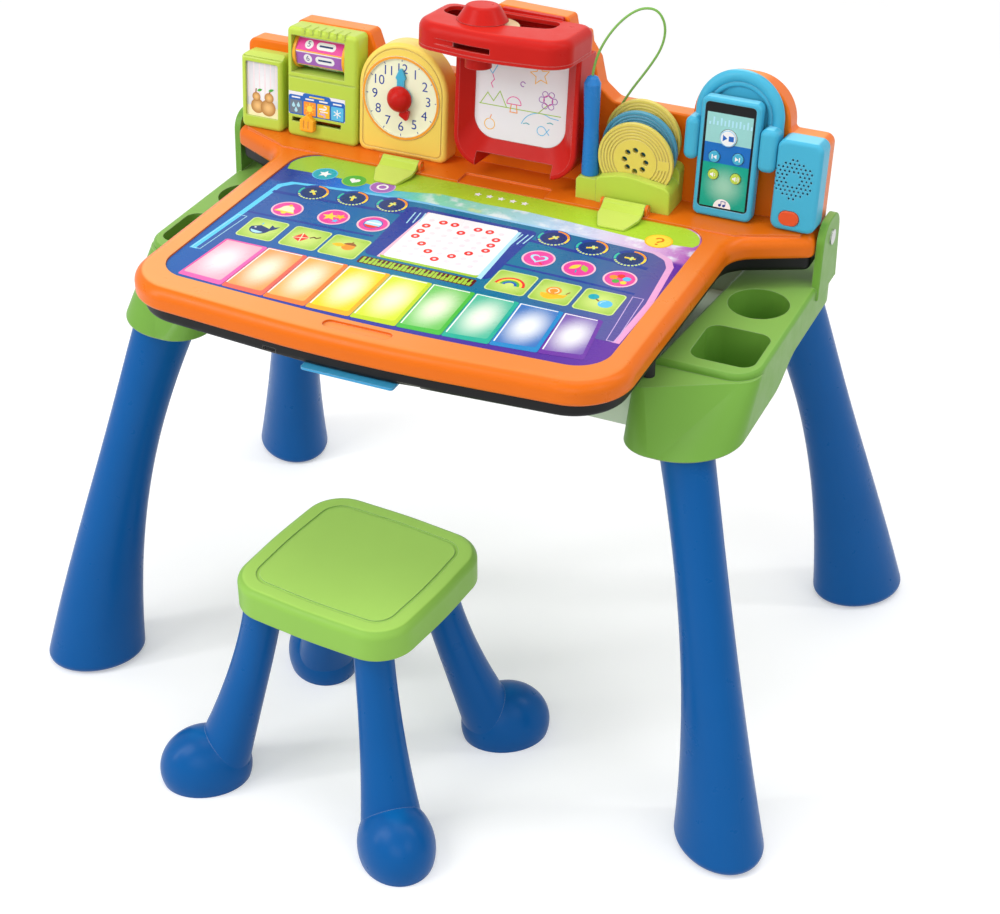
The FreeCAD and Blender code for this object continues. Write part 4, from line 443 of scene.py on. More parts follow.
def plastic(name, colour, top, top_share=0.55, rough=0.34, grain=0.05, gloss=0.2):
    """A moulded plastic of one colour, with a painted lighter colour on its flat tops where the light
    falls.
    """
    material, tree, shader = new_material(name)
    skin = group_node(
        tree,
        MOULDED_SKIN,
        Colour=solid(colour),
        Top_Colour=solid(top),
        Top_Share=top_share,
        Edge_Share=0.2,
        Grain_Depth=grain,
        Roughness=rough,
    )
    link_skin(tree, shader, skin, gloss)
    return material


def link_film(tree, shader, colour, rough=0.28, mottle=1.0):
    """Puts a printed film, with its thin clear gloss, on the shader."""
    film = group_node(tree, PRINTED_FILM, Colour=colour, Roughness=rough, Mottle=mottle)
    link_skin(tree, shader, film)
    shader.inputs["Coat Weight"].default_value = 0.08


def ink(name, colour, rough=0.28):
    """One printed ink."""
    material, tree, shader = new_material("ink " + name)
    link_film(tree, shader, solid(colour), rough)
    return material


def glowing_ink(name, rim, middle, reach=0.62):
    """An ink that fades from a bright middle to its own colour at the rim."""
    material, tree, shader = new_material("glow " + name)
    glow = group_node(tree, SOFT_GLOW, Rim=solid(rim), Middle=solid(middle), Reach=reach)
    link_film(tree, shader, glow.outputs["Colour"], mottle=0.6)
    return material


def across_page(tree, axes):
    """0 at the page's left end and 1 at its right."""
    return spread(tree, axes["X"], -PAGE_HALF_WIDTH * MM, PAGE_HALF_WIDTH * MM, smooth=False)


def graded_ink(name, stops):
    """An ink whose colour changes across the page, with stops from left to right."""
    material, tree, shader = new_material("ink " + name)
    axes = axes_of(tree, place_in_frame(tree))
    link_film(tree, shader, ramp(tree, across_page(tree, axes), stops), mottle=0.8)
    return material


# Plastics of the desk and stool

# The second colour of each plastic is the painted lighter colour of its flat tops, where the light falls
GREEN = plastic("leaf green plastic", (0.16, 0.36, 0.05), (0.29, 0.53, 0.12), rough=0.36)
STOOL_GREEN = plastic(
    "stool green plastic", (0.27, 0.52, 0.08), (0.46, 0.76, 0.15), top_share=0.9, rough=0.38
)
BLUE = plastic("leg blue plastic", (0.001, 0.095, 0.33), (0.004, 0.14, 0.42), rough=0.3, gloss=0.14)
ORANGE = plastic("orange plastic", (0.8, 0.16, 0.003), (0.88, 0.31, 0.06), top_share=0.8, rough=0.3)
LIME = plastic("lime plastic", (0.49, 0.64, 0.07), (0.58, 0.7, 0.15), rough=0.34)
YELLOW = plastic("warm yellow plastic", (0.88, 0.65, 0.12), (0.9, 0.72, 0.22), rough=0.33)
RED = plastic(
    "bright red plastic", (0.54, 0.014, 0.01), (0.7, 0.025, 0.015), top_share=0.8, rough=0.3, gloss=0.1
)
CORAL = plastic("coral button plastic", (0.74, 0.09, 0.025), (0.8, 0.14, 0.05), rough=0.3)
SKY = plastic("sky blue plastic", (0.06, 0.42, 0.62), (0.24, 0.7, 0.88), top_share=0.8, rough=0.33)
GRIP_BLUE = plastic("grip blue plastic", (0.04, 0.33, 0.62), (0.06, 0.42, 0.7), rough=0.35)
BLACK = plastic("black plastic", (0.006, 0.006, 0.007), (0.014, 0.014, 0.014), rough=0.45, grain=0.3)
PALE_TRAY = plastic("pale tray plastic", (0.56, 0.68, 0.5), (0.68, 0.78, 0.62), rough=0.42)
CREAM = plastic("cream disc plastic", (0.82, 0.6, 0.32), (0.86, 0.66, 0.38), rough=0.35)
DISC_YELLOW = plastic("disc yellow plastic", (0.76, 0.62, 0.11), (0.84, 0.72, 0.2), rough=0.38)
DISC_BLUE = plastic("disc blue plastic", (0.07, 0.32, 0.48), (0.14, 0.42, 0.55), rough=0.38)
AMBER = plastic("amber knob plastic", (0.9, 0.42, 0.02), (0.95, 0.55, 0.1), rough=0.25)
PEN_BLUE = plastic("pen blue plastic", (0.02, 0.2, 0.56), (0.07, 0.3, 0.66), rough=0.28)
WHITE = plastic("white button plastic", (0.84, 0.85, 0.86), (0.88, 0.88, 0.88), rough=0.3)
RUBBER = plastic("pad rubber", (0.03, 0.03, 0.03), (0.05, 0.05, 0.05), rough=0.7, grain=0.4)
CHALK_FACE = plastic("chalk board face", (0.02, 0.035, 0.028), (0.03, 0.05, 0.04), rough=0.75, grain=0.5)
CORD_GREEN = plastic("cord sheath", (0.2, 0.45, 0.08), (0.22, 0.48, 0.1), rough=0.45)
DIAL = plastic("dial film", (0.87, 0.86, 0.62), (0.88, 0.87, 0.66), rough=0.38)
CARD_WHITE = plastic("white card", (0.84, 0.83, 0.86), (0.86, 0.86, 0.88), rough=0.42)
SCREEN_BLACK = plastic("screen black", (0.006, 0.006, 0.007), (0.01, 0.01, 0.01), rough=0.15, grain=0.02)


def metal(name, colour, rough):
    """Drawn steel or turned metal with fine marks around it."""
    material, tree, shader = new_material(name)
    along = node(tree, "ShaderNodeMapping", Vector=place_in_frame(tree), Scale=(40.0, 900.0, 900.0))
    marks = noise(tree, along.outputs["Vector"], 3.0, 3.0)
    shade = ramp(tree, marks, ((0.3, [c * 0.8 for c in colour]), (0.7, colour)))
    tree.links.new(shade, shader.inputs["Base Color"])
    tree.links.new(spread(tree, marks, 0.3, 0.7, rough - 0.05, rough + 0.1), shader.inputs["Roughness"])
    bump = node(tree, "ShaderNodeBump", Strength=0.1, Distance=0.0001, Height=marks)
    tree.links.new(bump.outputs["Normal"], shader.inputs["Normal"])
    shader.inputs["Metallic"].default_value = 1.0
    return material


STEEL = metal("pin steel", (0.62, 0.62, 0.62), 0.3)
GREY_METAL = metal("turned grey metal", (0.55, 0.55, 0.57), 0.35)


def circuit_laminate():
    """Green circuit board with tracks and pads."""
    material, tree, shader = new_material("circuit laminate")
    spot = place_in_frame(tree)
    tracks = node(
        tree,
        "ShaderNodeTexBrick",
        Vector=spot,
        Scale=120.0,
        Mortar_Size=0.03,
        Color1=(0.01, 0.13, 0.05, 1),
        Color2=(0.012, 0.16, 0.06, 1),
        Mortar=(0.05, 0.3, 0.12, 1),
    )
    tree.links.new(tracks.outputs["Color"], shader.inputs["Base Color"])
    tree.links.new(spread(tree, noise(tree, spot, 200.0), 0.3, 0.7, 0.35, 0.5), shader.inputs["Roughness"])
    return material


def page_film():
    """The touch page: deep blue to violet, with a cloudy strip near its back, blue to mint to pink."""
    material, tree, shader = new_material("touch page film")
    spot = place_in_frame(tree)
    axes = axes_of(tree, spot)
    across = across_page(tree, axes)
    ground = ramp(
        tree,
        across,
        (
            (0.0, (0.002, 0.1, 0.38)),
            (0.3, (0.012, 0.04, 0.34)),
            (0.6, (0.03, 0.03, 0.32)),
            (0.85, (0.07, 0.02, 0.3)),
            (1.0, (0.12, 0.02, 0.32)),
        ),
    )
    strip = ramp(
        tree,
        across,
        (
            (0.04, (0.016, 0.045, 0.28)),
            (0.16, (0.01, 0.14, 0.6)),
            (0.27, (0.02, 0.42, 0.7)),
            (0.36, (0.16, 0.62, 0.4)),
            (0.5, (0.26, 0.62, 0.5)),
            (0.66, (0.4, 0.62, 0.78)),
            (0.8, (0.66, 0.6, 0.8)),
            (0.92, (0.66, 0.38, 0.68)),
            (1.0, (0.4, 0.1, 0.42)),
        ),
    )
    pale = spread(tree, noise(tree, spot, 55.0, 3.0), 0.48, 0.68, 0.0, 0.7)
    right = spread(tree, axes["X"], -0.09, -0.03)
    strip = mix_colour(tree, maths(tree, "MULTIPLY", pale, right), strip, (0.84, 0.88, 0.9, 1))
    lemon = spread(tree, noise(tree, spot, 38.0, 2.0), 0.58, 0.7, 0.0, 0.75)
    middle = maths(tree, "MULTIPLY", right, spread(tree, axes["X"], 0.03, 0.0))
    strip = mix_colour(tree, maths(tree, "MULTIPLY", lemon, middle), strip, (0.75, 0.75, 0.15, 1))
    back = spread(tree, axes["Y"], 0.036, 0.044)
    link_film(tree, shader, mix_colour(tree, back, ground, strip), rough=0.27, mottle=0.8)
    return material


def lid_orange():
    """The lid's orange, pale on the flat rim round the page and deeper on the wings: a painted sheen, paler
    towards the front and left where the light falls.
    """
    material, tree, shader = new_material("lid orange plastic")
    axes = axes_of(tree, place_in_frame(tree))
    # Painted sheen: the flat tops take more of the paler colour towards the front and towards the left
    painted_sheen_front = spread(tree, axes["Y"], 0.0, 0.1, 0.95, 0.06)
    left = spread(tree, axes["X"], -0.2, 0.16, 1.0, 0.4)
    skin = group_node(
        tree,
        MOULDED_SKIN,
        Colour=solid((0.76, 0.15, 0.003)),
        Top_Colour=solid((0.84, 0.36, 0.11)),
        Top_Share=maths(tree, "MULTIPLY", painted_sheen_front, left),
        Edge_Share=0.15,
        Grain_Depth=0.05,
        Roughness=0.3,
    )
    link_skin(tree, shader, skin)
    return material


# Each finish and the solids that it covers

FINISHES = (
    (GREEN, "caddy_right", "caddy_left"),
    (PALE_TRAY, "storage_tray"),
    (RUBBER, "rest_pads"),
    (STEEL, "hinge_pins", "back_screws"),
    (BLUE, "leg_front_right", "leg_front_left", "leg_rear_right", "leg_rear_left", "stool_legs"),
    (lid_orange(), "lid_shell"),
    (page_film(), "touch_page"),
    (BLACK, "lid_pan", "battery_box"),
    (CHALK_FACE, "chalk_board"),
    (circuit_laminate(), "circuit_board"),
    (GRIP_BLUE, "front_grip"),
    (ORANGE, "back_panel", "back_cover"),
    (LIME, "photo_frame", "calendar_case", "disc_holder", "cord_gland"),
    (LIME, "clip_left", "clip_right", "quieter_button", "louder_button"),
    (CARD_WHITE, "photo_card", "weather_label", "picture_screen"),
    (YELLOW, "clock_case"),
    (DIAL, "clock_dial"),
    (GREY_METAL, "clock_spindle", "speaker_driver"),
    (RED, "projector_frame", "projector_head", "head_cover", "lens_barrel", "projector_knob", "hour_hand"),
    (SKY, "player_case", "headphones", "speaker_case", "minute_hand", "back_button", "skip_button"),
    (SCREEN_BLACK, "player_screen"),
    (AMBER, "day_drum", "weather_slider"),
    (CREAM, "picture_disc"),
    (DISC_YELLOW, "disc_front", "disc_rear"),
    (DISC_BLUE, "disc_middle"),
    (PEN_BLUE, "stencil_pen"),
    (WHITE, "play_button"),
    (CORAL, "speaker_button"),
    (STOOL_GREEN, "stool_seat"),
)


def dress_solids():
    for material, *names in FINISHES:
        for name in names:
            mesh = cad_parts[name].data
            mesh.materials.clear()
            mesh.materials.append(material)


dress_solids()

# The pen's cord, from the pen's top round in a loop and down to the gland, in metres

CORD_DIAMETER = 0.0022
CORD_ROUTE = (
    (0.0795, 0.1272, 0.575),
    (0.0801, 0.1274, 0.583),
    (0.085, 0.1292, 0.6),
    (0.0945, 0.1327, 0.6175),
    (0.107, 0.1367, 0.6315),
    (0.1195, 0.1402, 0.6385),
    (0.1315, 0.144, 0.6365),
    (0.1378, 0.1472, 0.622),
    (0.1345, 0.1495, 0.602),
    (0.1225, 0.1504, 0.5805),
    (0.107, 0.1508, 0.5576),
    (0.0935, 0.1506, 0.533),
    (0.0835, 0.1496, 0.509),
    (0.08, 0.1488, 0.496),
    (0.08, 0.1488, 0.488),
)


def make_pen_cord():
    """A tube along the route, from the pen's top round in a loop and down to the gland, which stays on the
    lid; the CAD cord is hidden.
    """
    line = bpy.data.curves.new("pen_cord_line", "CURVE")
    line.dimensions = "3D"
    run = line.splines.new("NURBS")
    run.points.add(len(CORD_ROUTE) - 1)
    for point, place in zip(run.points, CORD_ROUTE):
        point.co = (*place, 1.0)
    run.order_u = 3
    run.use_endpoint_u = True
    line.resolution_u = 12
    holder = bpy.data.objects.new("pen_cord_line", line)
    middle_line = bpy.data.meshes.new_from_object(holder)
    line.bevel_depth = CORD_DIAMETER / 2
    line.bevel_resolution = 4
    line.use_fill_caps = True
    tube = bpy.data.meshes.new_from_object(holder)
    bpy.data.objects.remove(holder)
    tube.shade_smooth()
    tube.materials.clear()
    tube.materials.append(CORD_GREEN)
    piece = add_object("pen_tether", tube)
    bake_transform(piece)
    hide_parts("pen_cord")


make_pen_cord()

# Inks of the page and labels

INK_COLOURS = {
    "white": (0.86, 0.86, 0.87),
    "paper": (0.87, 0.74, 0.78),
    "faint pink": (0.86, 0.66, 0.72),
    "navy": (0.01, 0.035, 0.16),
    "deep blue": (0.014, 0.045, 0.3),
    "blue": (0.02, 0.13, 0.5),
    "lime": (0.36, 0.58, 0.05),
    "pale lime": (0.62, 0.76, 0.25),
    "pink": (0.78, 0.06, 0.33),
    "pale pink": (0.88, 0.5, 0.62),
    "lilac": (0.6, 0.42, 0.75),
    "sky": (0.1, 0.5, 0.8),
    "pale sky": (0.42, 0.74, 0.86),
    "teal": (0.01, 0.38, 0.46),
    "mint": (0.04, 0.5, 0.36),
    "green": (0.08, 0.42, 0.06),
    "purple": (0.36, 0.12, 0.48),
    "orange": (0.88, 0.3, 0.03),
    "amber": (0.92, 0.5, 0.02),
    "rust": (0.7, 0.16, 0.01),
    "yellow": (0.9, 0.66, 0.06),
    "cream": (0.9, 0.8, 0.5),
    "red": (0.8, 0.04, 0.03),
    "maroon": (0.1, 0.012, 0.012),
    "brown": (0.3, 0.11, 0.03),
    "grey": (0.16, 0.2, 0.26),
}
INK = {name: ink(name, colour) for name, colour in INK_COLOURS.items()}


# Small pictures about their own middle, about 20 mm wide, each a list of (shape, ink)

def star_shape(reach, waist):
    outline = []
    for i in range(10):
        angle = math.pi / 2 + i * math.pi / 5
        radius = reach if i % 2 == 0 else waist
        outline.append((radius * math.cos(angle), radius * math.sin(angle)))
    return [outline]


def leaf_shape(length, width):
    side = [(length * (i / 10 - 0.5), width / 2 * math.sin(math.pi * i / 10)) for i in range(11)]
    return [side + [(x, -y) for x, y in side[-2:0:-1]]]


def heart_shape(size):
    outline = []
    for i in range(36):
        t = 2 * math.pi * i / 36
        x = 16 * math.sin(t) ** 3
        y = 13 * math.cos(t) - 5 * math.cos(2 * t) - 2 * math.cos(3 * t) - math.cos(4 * t)
        outline.append((x * size / 34, y * size / 34))
    return [outline]


def drop_shape(size):
    return [arc_points(0, -size * 0.15, size * 0.3, 150, 390, 16) + [(0, size * 0.5)]]


def ray(turn, start, end):
    """A thin line on a ray at an angle in degrees, between two distances from the middle."""
    return moved(stroke([(start, 0), (end, 0)], 0.9), 0, 0, turn=turn)


BELL = [
    (disc(0, -7, 2.6, 16), "yellow"),
    ([arc_points(0, 0.5, 6.2, 0, 180, 14) + [(-9.5, -6), (9.5, -6)]], "cream"),
    (stroke([(-9.5, -5.4), (9.5, -5.4)], 2.0), "yellow"),
    (disc(0, 7.2, 1.8, 14), "amber"),
]
STARS = [
    (moved(star_shape(7.6, 3.4), -3.6, 0, turn=12), "yellow"),
    (moved(star_shape(5.6, 2.5), 5.6, 2.5, turn=-14), "amber"),
    (moved(star_shape(3.4, 1.6), 4.6, -6), "sky"),
]
BALL = [
    (disc(0, 0, 8.6, 32), "pale sky"),
    ([arc_points(0, 0, 8.6, 200, 340, 16)], "red"),
    (stroke([(-8.2, 1.6), (8.2, 1.6)], 2.2), "white"),
    (ring(0, 0, 8.2, 0.9), "blue"),
]
HEART_RING = [
    (heart_shape(17), "pale sky"),
    (heart_shape(11.5), "pink"),
    (moved(stroke([(0, 0), (4.6, 0)], 1.6), 3.4, -6.4, turn=-40), "red"),
]
LEAVES = [
    (moved(leaf_shape(13, 6), -4, 1.6, turn=55), "yellow"),
    (moved(leaf_shape(13, 6), 4.6, 1.6, turn=122), "lime"),
    (stroke([(0, -8), (-1, -3)], 1.2), "teal"),
]
BEADS = [
    (disc(-6, 1, 3.6, 20), "orange"),
    (disc(-0.5, 4.6, 3.4, 20), "red"),
    (disc(5.6, 1.6, 3.6, 20), "sky"),
    (disc(-2, -5, 3.2, 20), "green"),
    (disc(5, -5.4, 2.8, 20), "yellow"),
]
WHALE = [
    (
        [
            arc_points(-2, -1, 8.4, 170, 355, 16)
            + [(9.5, 2.5), (11, 7), (7.4, 5), (4, 7.4), (4.6, 1.4), (-4, 4.4)]
        ],
        "navy",
    ),
    ([arc_points(-2.6, -2.4, 6, 195, 330, 12)], "pale sky"),
    (disc(-6.6, 0, 0.9, 10), "white"),
    (stroke([(-4, 5.6), (-4, 8.6)], 1.0), "sky"),
]
KITE = [
    (polygon((-10, -3), (-2, -7.5), (3, 0.5), (-5, 6)), "red"),
    (stroke([(-10, -3), (3, 0.5)], 0.9), "cream"),
    (stroke([(-2, -7.5), (-5, 6)], 0.9), "cream"),
    (stroke([(3, 0.5), (5.5, 3), (8, 2), (10.5, 4.8)], 1.3), "maroon"),
]
ACORN = [
    (disc(2.6, 0, 5.2, 22), "orange"),
    ([arc_points(2.6, 0.8, 5.8, 20, 160, 12)], "brown"),
    (moved(leaf_shape(11, 5.4), -5.6, 0.6, turn=8), "amber"),
    (stroke([(2.6, 6), (3.4, 8)], 1.2), "brown"),
]
RAINBOW = [
    (ring(0, -5, radius, 2.0, 0, 180), name)
    for radius, name in ((10.6, "red"), (8.6, "yellow"), (6.6, "green"), (4.6, "blue"))
]
SNAIL = [
    ([arc_points(-2, -4.6, 7.4, 180, 300, 10) + [(9, -6.6), (10, -1), (7, -3)]], "amber"),
    (disc(-1.5, 0.8, 5.8, 26), "orange"),
    (ring(-1.5, 0.8, 3.6, 1.0, -60, 250), "cream"),
    (stroke([(8.6, -1), (10.4, 3)], 0.9), "brown"),
]
BALLOONS = [
    (disc(5, -2.5, 5.4, 26), "sky"),
    (ring(5, -2.5, 3.6, 0.8, 100, 200), "pale sky"),
    (disc(-6.4, 4.4, 4, 22), "teal"),
    (stroke([(-3.6, 2), (-0.5, -0.4)], 1.3), "brown"),
]
RAIN = [(moved(drop_shape(5.6), x, y), "pale sky") for x, y in ((-2.6, 1.6), (2.6, 2.2), (0, -2.8))]
SUN = [(ray(turn, 5.2, 3.9), "yellow") for turn in range(0, 360, 45)] + [(disc(0, 0, 3.1, 20), "yellow")]
WIND = [
    (stroke([(-4.6, 1.8), (1.4, 1.8)] + arc_points(1.4, 3.4, 1.6, -90, 130, 8), 1.1), "white"),
    (stroke([(-3.4, -0.6), (4.6, -0.6)], 1.1), "white"),
    (stroke([(-4.6, -3), (0.6, -3)] + arc_points(0.6, -4.2, 1.2, 90, -110, 8), 1.1), "lilac"),
]
SNOWFLAKE = [(ray(turn, -4.2, 4.2), "white") for turn in (30, 90, 150)]
LETTER_SIZE_FOR_HEIGHT = 1.38


def picture(motif, x, y, scale=1.0):
    return [(moved(shape, x, y, scale), name) for shape, name in motif]


def numeral(text, x, y, height):
    """A number as a shape, from the built-in letters."""
    letters = bpy.data.curves.new("numeral " + text, "FONT")
    letters.body = text
    letters.align_x = "CENTER"
    letters.align_y = "CENTER"
    letters.size = height * LETTER_SIZE_FOR_HEIGHT
    holder = bpy.data.objects.new("numeral " + text, letters)
    mesh = holder.to_mesh()
    shape = []
    for face in mesh.polygons:
        corners = [mesh.vertices[i].co for i in face.vertices]
        shape.append([(corner.x + x, corner.y + y) for corner in corners])
    holder.to_mesh_clear()
    bpy.data.objects.remove(holder)
    return shape


def rounded(points, radius):
    """A polygon with each corner replaced by a short curve."""
    outline = []
    for i, here in enumerate(points):
        here = Vector(here)
        before = Vector(points[i - 1])
        after = Vector(points[(i + 1) % len(points)])
        first = here + (before - here).normalized() * radius
        last = here + (after - here).normalized() * radius
        for step in range(CORNER_STEPS + 1):
            t = step / CORNER_STEPS
            outline.append(tuple(first * (1 - t) ** 2 + here * 2 * t * (1 - t) + last * t * t))
    return [outline]


# The touch page: ground, keys, pictures, dials, the dotted sheet and the small keyboard

GROUND_LEVEL = 0.16
KEY_LEVEL = 0.11

PANEL_EDGE = (
    (-197, -27), (-192.5, 41), (-189, 112), (-180, 122), (-162, 124.5), (-128, 128.5),
    (-93, 132), (-50, 134.5), (8, 133.5), (88, 133), (148, 130.5), (175, 129.5),
    (189, 121.5), (195.5, 109), (202, 40), (200.5, -29),
)
BAND_EDGE = (
    (-197.5, 145), (-174, 146), (-114, 146.5), (-98, 141.5), (-72, 147), (-45, 155),
    (-1, 152.5), (39, 154.5), (80, 152), (122, 148.5), (162, 145.5), (197.5, 150),
)


def page_print(name, layers, level=GROUND_LEVEL):
    printed_piece(name, PAGE, layers, "lid", level)


def print_page_ground():
    inside = rounded([(x * 0.972, y - 3.5 if y > 60 else y) for x, y in PANEL_EDGE], 3)
    edge = graded_ink("panel edge", (
        (0.0, (0.1, 0.6, 0.9)), (0.3, (0.12, 0.5, 0.8)), (0.7, (0.35, 0.62, 0.82)), (1.0, (0.8, 0.33, 0.6)),
    ))
    panel_ink = graded_ink("panel", (
        (0.0, (0.025, 0.085, 0.34)), (0.25, (0.006, 0.12, 0.36)), (0.4, (0.0, 0.17, 0.32)),
        (0.7, (0.0, 0.16, 0.3)), (0.85, (0.04, 0.12, 0.31)), (1.0, (0.1, 0.06, 0.3)),
    ))
    band = graded_ink("title band", (
        (0.0, (0.3, 0.5, 0.05)), (0.5, (0.42, 0.62, 0.03)), (1.0, (0.4, 0.62, 0.04)),
    ))
    corner = arc_points(174, 156, 26.5, 0, 90, 8) + arc_points(-174, 156, 26.5, 90, 180, 8)
    dividers = stroke([(-186, 98), (-120, 100.5), (-60, 105), (60, 105), (120, 101), (176, 97.5)], 4.5)
    dividers += stroke([(-186, 53), (-120, 54), (-62, 56)], 3.0)
    dividers += stroke([(62, 56), (120, 54.5), (182, 52)], 3.0)
    layers = [
        ([list(BAND_EDGE) + corner], band),
        ([list(PANEL_EDGE)], edge),
        (inside, panel_ink),
        (dividers, "deep blue"),
    ]
    page_print("page_ground_print", layers, 0.0)


print_page_ground()

KEY_REAR_X = (-176, -134.5, -95.5, -56, -16, 23, 62.5, 102, 141.5, 176)
KEY_FRONT_X = (-181, -137, -96.5, -56, -15, 26.5, 66, 106.5, 147, 185)
KEY_COLOURS = (
    ("pink", (0.82, 0.12, 0.42), (0.75, 0.42, 0.52), (0.9, 0.82, 0.84)),
    ("coral", (0.85, 0.13, 0.08), (0.88, 0.34, 0.1), (0.95, 0.86, 0.66)),
    ("orange", (0.86, 0.2, 0.03), (0.9, 0.42, 0.1), (0.95, 0.88, 0.68)),
    ("yellow", (0.86, 0.42, 0.01), (0.92, 0.66, 0.01), (0.95, 0.9, 0.62)),
    ("lime", (0.5, 0.66, 0.01), (0.66, 0.76, 0.03), (0.92, 0.93, 0.6)),
    ("green", (0.06, 0.48, 0.05), (0.16, 0.56, 0.12), (0.85, 0.92, 0.68)),
    ("mint", (0.01, 0.42, 0.3), (0.08, 0.5, 0.33), (0.86, 0.92, 0.78)),
    ("blue", (0.01, 0.24, 0.56), (0.04, 0.18, 0.5), (0.86, 0.89, 0.92)),
    ("violet", (0.14, 0.03, 0.34), (0.2, 0.12, 0.42), (0.88, 0.87, 0.9)),
)


def front_edge(x):
    """The keys' front ends follow the bow of the page."""
    return -78 + 0.0207 * x + 0.000297 * x * x


def print_keys():
    for i, (name, side, rim, middle) in enumerate(KEY_COLOURS):
        left, right = KEY_REAR_X[i], KEY_REAR_X[i + 1]
        front_left, front_right = KEY_FRONT_X[i], KEY_FRONT_X[i + 1]
        low_left, low_right = front_edge(front_left), front_edge(front_right)
        body = [(left, 0), (right - 0.5, 0), (front_right - 0.5, low_right), (front_left, low_left)]
        face = [
            (left + 1.5, -1.5),
            (right - 4, -1.5),
            (front_right - 4.5, low_right + 7),
            (front_left + 2, low_left + 6),
        ]
        line = stroke([(face[3][0] - 0.4, face[3][1] + 1), face[0], (face[1][0] - 1, face[1][1])], 1.2)
        layers = [
            (rounded(body, 2.5), ink("key side " + name, side)),
            (rounded(face, 3), glowing_ink("key " + name, rim, middle, 0.6)),
            (line, "pink" if i == 0 else "white"),
        ]
        page_print("key_print_" + name, layers, KEY_LEVEL)


print_keys()

TILE_PLACES = ((-156.5, 28), (-114, 28), (-75.5, 28), (81.5, 28), (121, 28), (160.5, 28))
TILE_PICTURES = (WHALE, KITE, ACORN, RAINBOW, SNAIL, BALLOONS)
ROUND_PLACES = ((-156, 71), (-111, 74), (-73, 76.5), (85, 77), (123, 74.5), (161.5, 71.5))
ROUND_PICTURES = (BELL, STARS, BALL, HEART_RING, LEAVES, BEADS)
DIAL_PLACES = ((-151, 110), (-113, 114), (-75, 117), (82, 117), (119, 114), (156, 109))
DIAL_RING = 13


def print_tiles():
    glow = glowing_ink("tile", (0.3, 0.52, 0.05), (0.62, 0.76, 0.2), 0.8)
    for number, ((x, y), motif) in enumerate(zip(TILE_PLACES, TILE_PICTURES), 1):
        layers = [(tile(x, y, 36, 37, 4), "pale lime"), (tile(x, y, 33.6, 34.6, 3.2), glow)]
        layers += picture(motif, x, y + 1, 1.15)
        page_print("tile_print_%d" % number, layers)


def print_rounds():
    for number, ((x, y), motif) in enumerate(zip(ROUND_PLACES, ROUND_PICTURES), 1):
        layers = [(disc(x, y, 14.6), "pale pink"), (disc(x, y, 12.9), "pink")]
        layers += picture(motif, x, y)
        page_print("round_print_%d" % number, layers)


def print_dials():
    """Navy dials with coloured arcs, a row of pips and a short pointer, each turned another way."""
    for i, (x, y) in enumerate(DIAL_PLACES):
        pips = []
        for end in range(-28, -154, -14):
            pips += ring(x, y, DIAL_RING, 2.0, end - 9, end)
        turn = 40 - 26 * i
        pointer = moved(stroke([(0, -5), (0, 5)], 2.4), x, y, turn=turn)
        cross = moved(stroke([(-3.2, 1.4), (3.2, 1.4)], 2.4), x, y, turn=turn)
        layers = [
            (disc(x, y, 15.2), "deep blue"),
            (ring(x, y, DIAL_RING, 2.2, 20, 95), "orange"),
            (ring(x, y, DIAL_RING, 2.2, -24, 18), "yellow"),
            (pips, "pale lime"),
            (ring(x, y, DIAL_RING, 2.2, -205, -156), "mint"),
            (disc(x, y, 10.6), "navy"),
            (pointer, "yellow"),
            (cross, "pale lime"),
        ]
        page_print("dial_print_%d" % (i + 1), layers)


print_tiles()
print_rounds()
print_dials()

SHEET_CORNERS = ((-38, 117), (49.5, 117), (51, 27), (-38.5, 27))
DOT_X = (-29, -17.8, -6.6, 4.6, 15.8, 27, 38.2)
DOT_Y = (104, 92.5, 81.5, 71, 60.5, 50, 39.5)
DOT_HEART = (".xx.xx.", "x..x..x", "x.....x", "x.....x", ".x...x.", "..x.x..", "...x...")


def print_dotted_sheet():
    """White sheet with a heart of red dots, between a pink and a light blue edge."""
    lit = []
    hearts = []
    unlit = []
    for y, line in zip(DOT_Y, DOT_HEART):
        for x, mark in zip(DOT_X, line):
            if mark == "x":
                lit += disc(x, y, 3.9, 20)
                hearts += disc(x, y, 1.5, 12)
            else:
                unlit += disc(x, y, 2.6, 16)
    (left, top), (right, _), (right_low, low), (left_low, _) = SHEET_CORNERS
    pink_edge = polygon((left - 1, top), (left + 4, top), (left_low + 3, low - 3), (left_low - 4, low - 3))
    blue_edge = polygon(
        (right - 3, top - 3), (right + 3, top - 2), (right_low + 5, low - 4), (right_low - 3, low - 2)
    )
    green_edge = polygon(
        (left_low - 3, low + 1), (right_low + 1, low + 1), (right_low, low - 3.5), (left_low, low - 3.5)
    )
    layers = [
        (rounded([(-60, 122), (66, 122), (62, 24), (-56, 24)], 8), "deep blue"),
        (pink_edge, "pale pink"),
        (blue_edge, "pale sky"),
        (green_edge, "lime"),
        (rounded(SHEET_CORNERS, 4), "white"),
        (unlit, "paper"),
        (lit, "red"),
        (hearts, "faint pink"),
    ]
    for side in (-1, 1):
        dashes = []
        for step in range(3):
            x = 3 + step * 4.6
            dashes += stroke([(side * 50 + x, 90 + step * 3), (side * 52 + x, 112 + step)], 1.1)
        layers.append((dashes, "pale sky"))
    page_print("dotted_sheet_print", layers)


SMALL_KEYS = 26
SMALL_KEY_PITCH = 4


def print_small_keyboard():
    """Narrow strip of lime keys with dark ones in groups of two and three."""
    pale = []
    dark = []
    for i in range(SMALL_KEYS):
        x = -50 + i * SMALL_KEY_PITCH
        pale += tile(x, 14, 3.3, 10.4, 0.6)
        if i % 7 not in (2, 6):
            dark += tile(x + 2, 16.8, 2.3, 5.6, 0.4)
    layers = [(tile(0, 14, 108, 12.6, 2), "maroon"), (pale, "lime"), (dark, "maroon")]
    page_print("small_keyboard_print", layers)


print_dotted_sheet()
print_small_keyboard()

